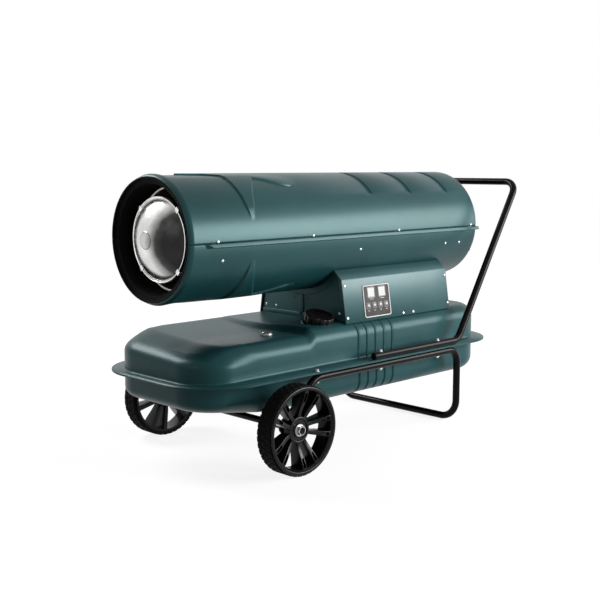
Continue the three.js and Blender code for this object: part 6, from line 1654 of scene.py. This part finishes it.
# %% The power inlet
INLET = Vector((0, -120, 411))
INLET_SECTION = [(-20, 0), (-20, 11.8), (-3.2, 11.8), (-3.2, 15.2), (-2.4, 15.9), (-1.0, 15.9), (-0.2, 15.2),
                 (0, 14.2), (0, 12.2), (-0.6, 11.6), (-9, 11.0), (-9, 0)]
PIN_PLACES, PIN_HALF_Y, PIN_HALF_Z = ((-4.5, 0), (4.5, 0), (0, 4.5)), 1, 2.2
PIN_BACK, PIN_FRONT = -9.4, -4.5
inlet_face = in_mm("power_inlet")[1].x
bm = turned_piece(shifted(INLET_SECTION, inlet_face), AXIS_X, INLET, 56, closed=False)
finish_piece(bm, "inlet_socket", cap_black, stands_for=("power_inlet",), smooth=35)
bm = bmesh.new()
for y, z in PIN_PLACES:
    y, z = INLET.y + y, INLET.z + z
    add_block(bm, (inlet_face + PIN_BACK, y - PIN_HALF_Y, z - PIN_HALF_Z),
              (inlet_face + PIN_FRONT, y + PIN_HALF_Y, z + PIN_HALF_Z))
soften(bm, 0.3, 2, 50)
finish_piece(bm, "inlet_pins", brass_metal)

# %% [markdown]
# ## Screws and bolts
# Plated pan heads hold the barrel's halves and the covers, and hexagon bolts with nuts clamp the
# two tubes to the tank's flange. A black disc beside each screw of the seam is painted shade for a hole.

# %% Screws in the barrel, and black discs of painted shade for its holes
SEAM_SCREWS = [(-167, 0.3), (188, 0.1), (567, 0.0), (941.5, 0.7)]
LOW_SCREWS = [(-146, -16.8), (397, -16.8), (815, -18.0), (890, -18.0)]
LONE_HOLE, LONE_HOLE_RADIUS = (968, -29), 4.2
HOLE_OFFSET, HOLE_TURN, HOLE_RADIUS = -18, -0.2, 3.4
SCREW_SUNK, HOLE_SUNK, HOLE_FOOT, HOLE_HEAD = 0.3, 2.2, 1.5, 2.4
bm = bmesh.new()
# holes gathers black discs flush with the skin: painted shade for the holes beside the seam screws and the lone
# hole.
holes = bmesh.new()


def on_barrel(x, angle, sunk, side=1):
    """A place under the barrel's skin and its normal, on the near side or mirrored to the far one."""
    t = math.radians(angle)
    normal = Vector((0, -side * math.cos(t), math.sin(t)))
    return Vector((x, 0, BARREL_HEIGHT)) + normal * (BARREL_RADIUS - sunk), normal


def add_hole_shade(radius, x, angle, side=1):
    place, normal = on_barrel(x, angle, HOLE_SUNK, side)
    add_drum(holes, radius, place - normal * HOLE_FOOT, place + normal * HOLE_HEAD, 20)


for x, angle in SEAM_SCREWS + LOW_SCREWS:
    for side in (1, -1):
        add_screw(bm, *on_barrel(x, angle, SCREW_SUNK, side))
for x, angle in SEAM_SCREWS:
    for side in (1, -1):
        add_hole_shade(HOLE_RADIUS, x + HOLE_OFFSET, angle + HOLE_TURN, side)
add_hole_shade(LONE_HOLE_RADIUS, *LONE_HOLE)
finish_piece(bm, "barrel_screws", zinc_plate, smooth=35)
finish_piece(holes, "barrel_hole_shade", painted_shade_black, smooth=35)

# %% Screws in the housing
COVER_SCREWS = [(807, 111), (808.5, 19), (579, 7.7), (628, 7.2), (323, 113), (323, 16)]
PANEL_SCREWS = [(160.5, 395), (114.8, 394), (-160.5, 395)]
COVER_SCREW, PANEL_SCREW = (4.6, 2.6), (4.4, 2.4)
MIRROR = Matrix.Scale(-1, 3, AXIS_Y)
panel = HOUSING_FRONT + PANEL_INSET
bm = bmesh.new()
normal = FACE_PLACE.to_3x3() @ -AXIS_Y
for x, up in COVER_SCREWS:
    place = FACE_PLACE @ Vector((x - HOUSING_FRONT, -0.2, up))
    add_screw(bm, place, normal, *COVER_SCREW)
    add_screw(bm, MIRROR @ place, MIRROR @ normal, *COVER_SCREW)
for y, z in PANEL_SCREWS:
    add_screw(bm, Vector((panel + 0.2, y, z)), -AXIS_X, *PANEL_SCREW)
finish_piece(bm, "housing_screws", zinc_plate, smooth=35)

# %% Bolts through the rails and the tank's flange
BOLT_PLACES, BOLT_SEAT, BOLT_SUNK, NUT_SIZE = (125, 395, 670), 261.0, 0.4, (10, 4.5)
bm = bmesh.new()
for x in BOLT_PLACES:
    over = HANDLE_RAIL + TUBE_RADIUS - BOLT_SUNK if x > HANDLE_START else BOLT_SEAT
    under = LEG_RAIL - TUBE_RADIUS + BOLT_SUNK
    for side in (-1, 1):
        add_bolt(bm, (x, side * RAIL_OFFSET, over), AXIS_Z)
        add_bolt(bm, (x, side * RAIL_OFFSET, under), -AXIS_Z, *NUT_SIZE)
soften(bm, 0.4, 2, 50)
finish_piece(bm, "frame_bolts", zinc_plate, smooth=35)

# %% [markdown]
# ## Finishes for the solids that stay
# Inside the barrel and under the covers the CAD solids are fine enough. Each gets the finish of its
# own material in its slot; their meshes are not touched.

# %% Finishes on the CAD solids
STAYS = {
    zinc_plate: ("chamber_brace_front", "chamber_brace_rear", "blast_tube", "burner_carrier", "motor_mount",
                 "motor_shaft", "housing_floor", "filler_neck", "suction_pipe"),
    chamber_steel: ("flame_disc",),
    brass_metal: ("fuel_nozzle",),
    copper_metal: ("nozzle_pipe",),
    ceramic_white: ("electrode_near", "electrode_far"),
    motor_enamel: ("fuel_pump", "ignition_transformer"),
    board_green: ("circuit_board",),
    cap_black: ("cap_core", "float_arm"),
}
for finish, names in STAYS.items():
    for name in names:
        for place in nodes[name].material_slots:
            place.material = finish
dressed = {name for names in STAYS.values() for name in names}
shown = [name for name, node in nodes.items() if not node.hide_render]
print("CAD solids that stay:", len(shown), "with a finish here:", len(dressed))
print("without one:", sorted(set(shown) - dressed))
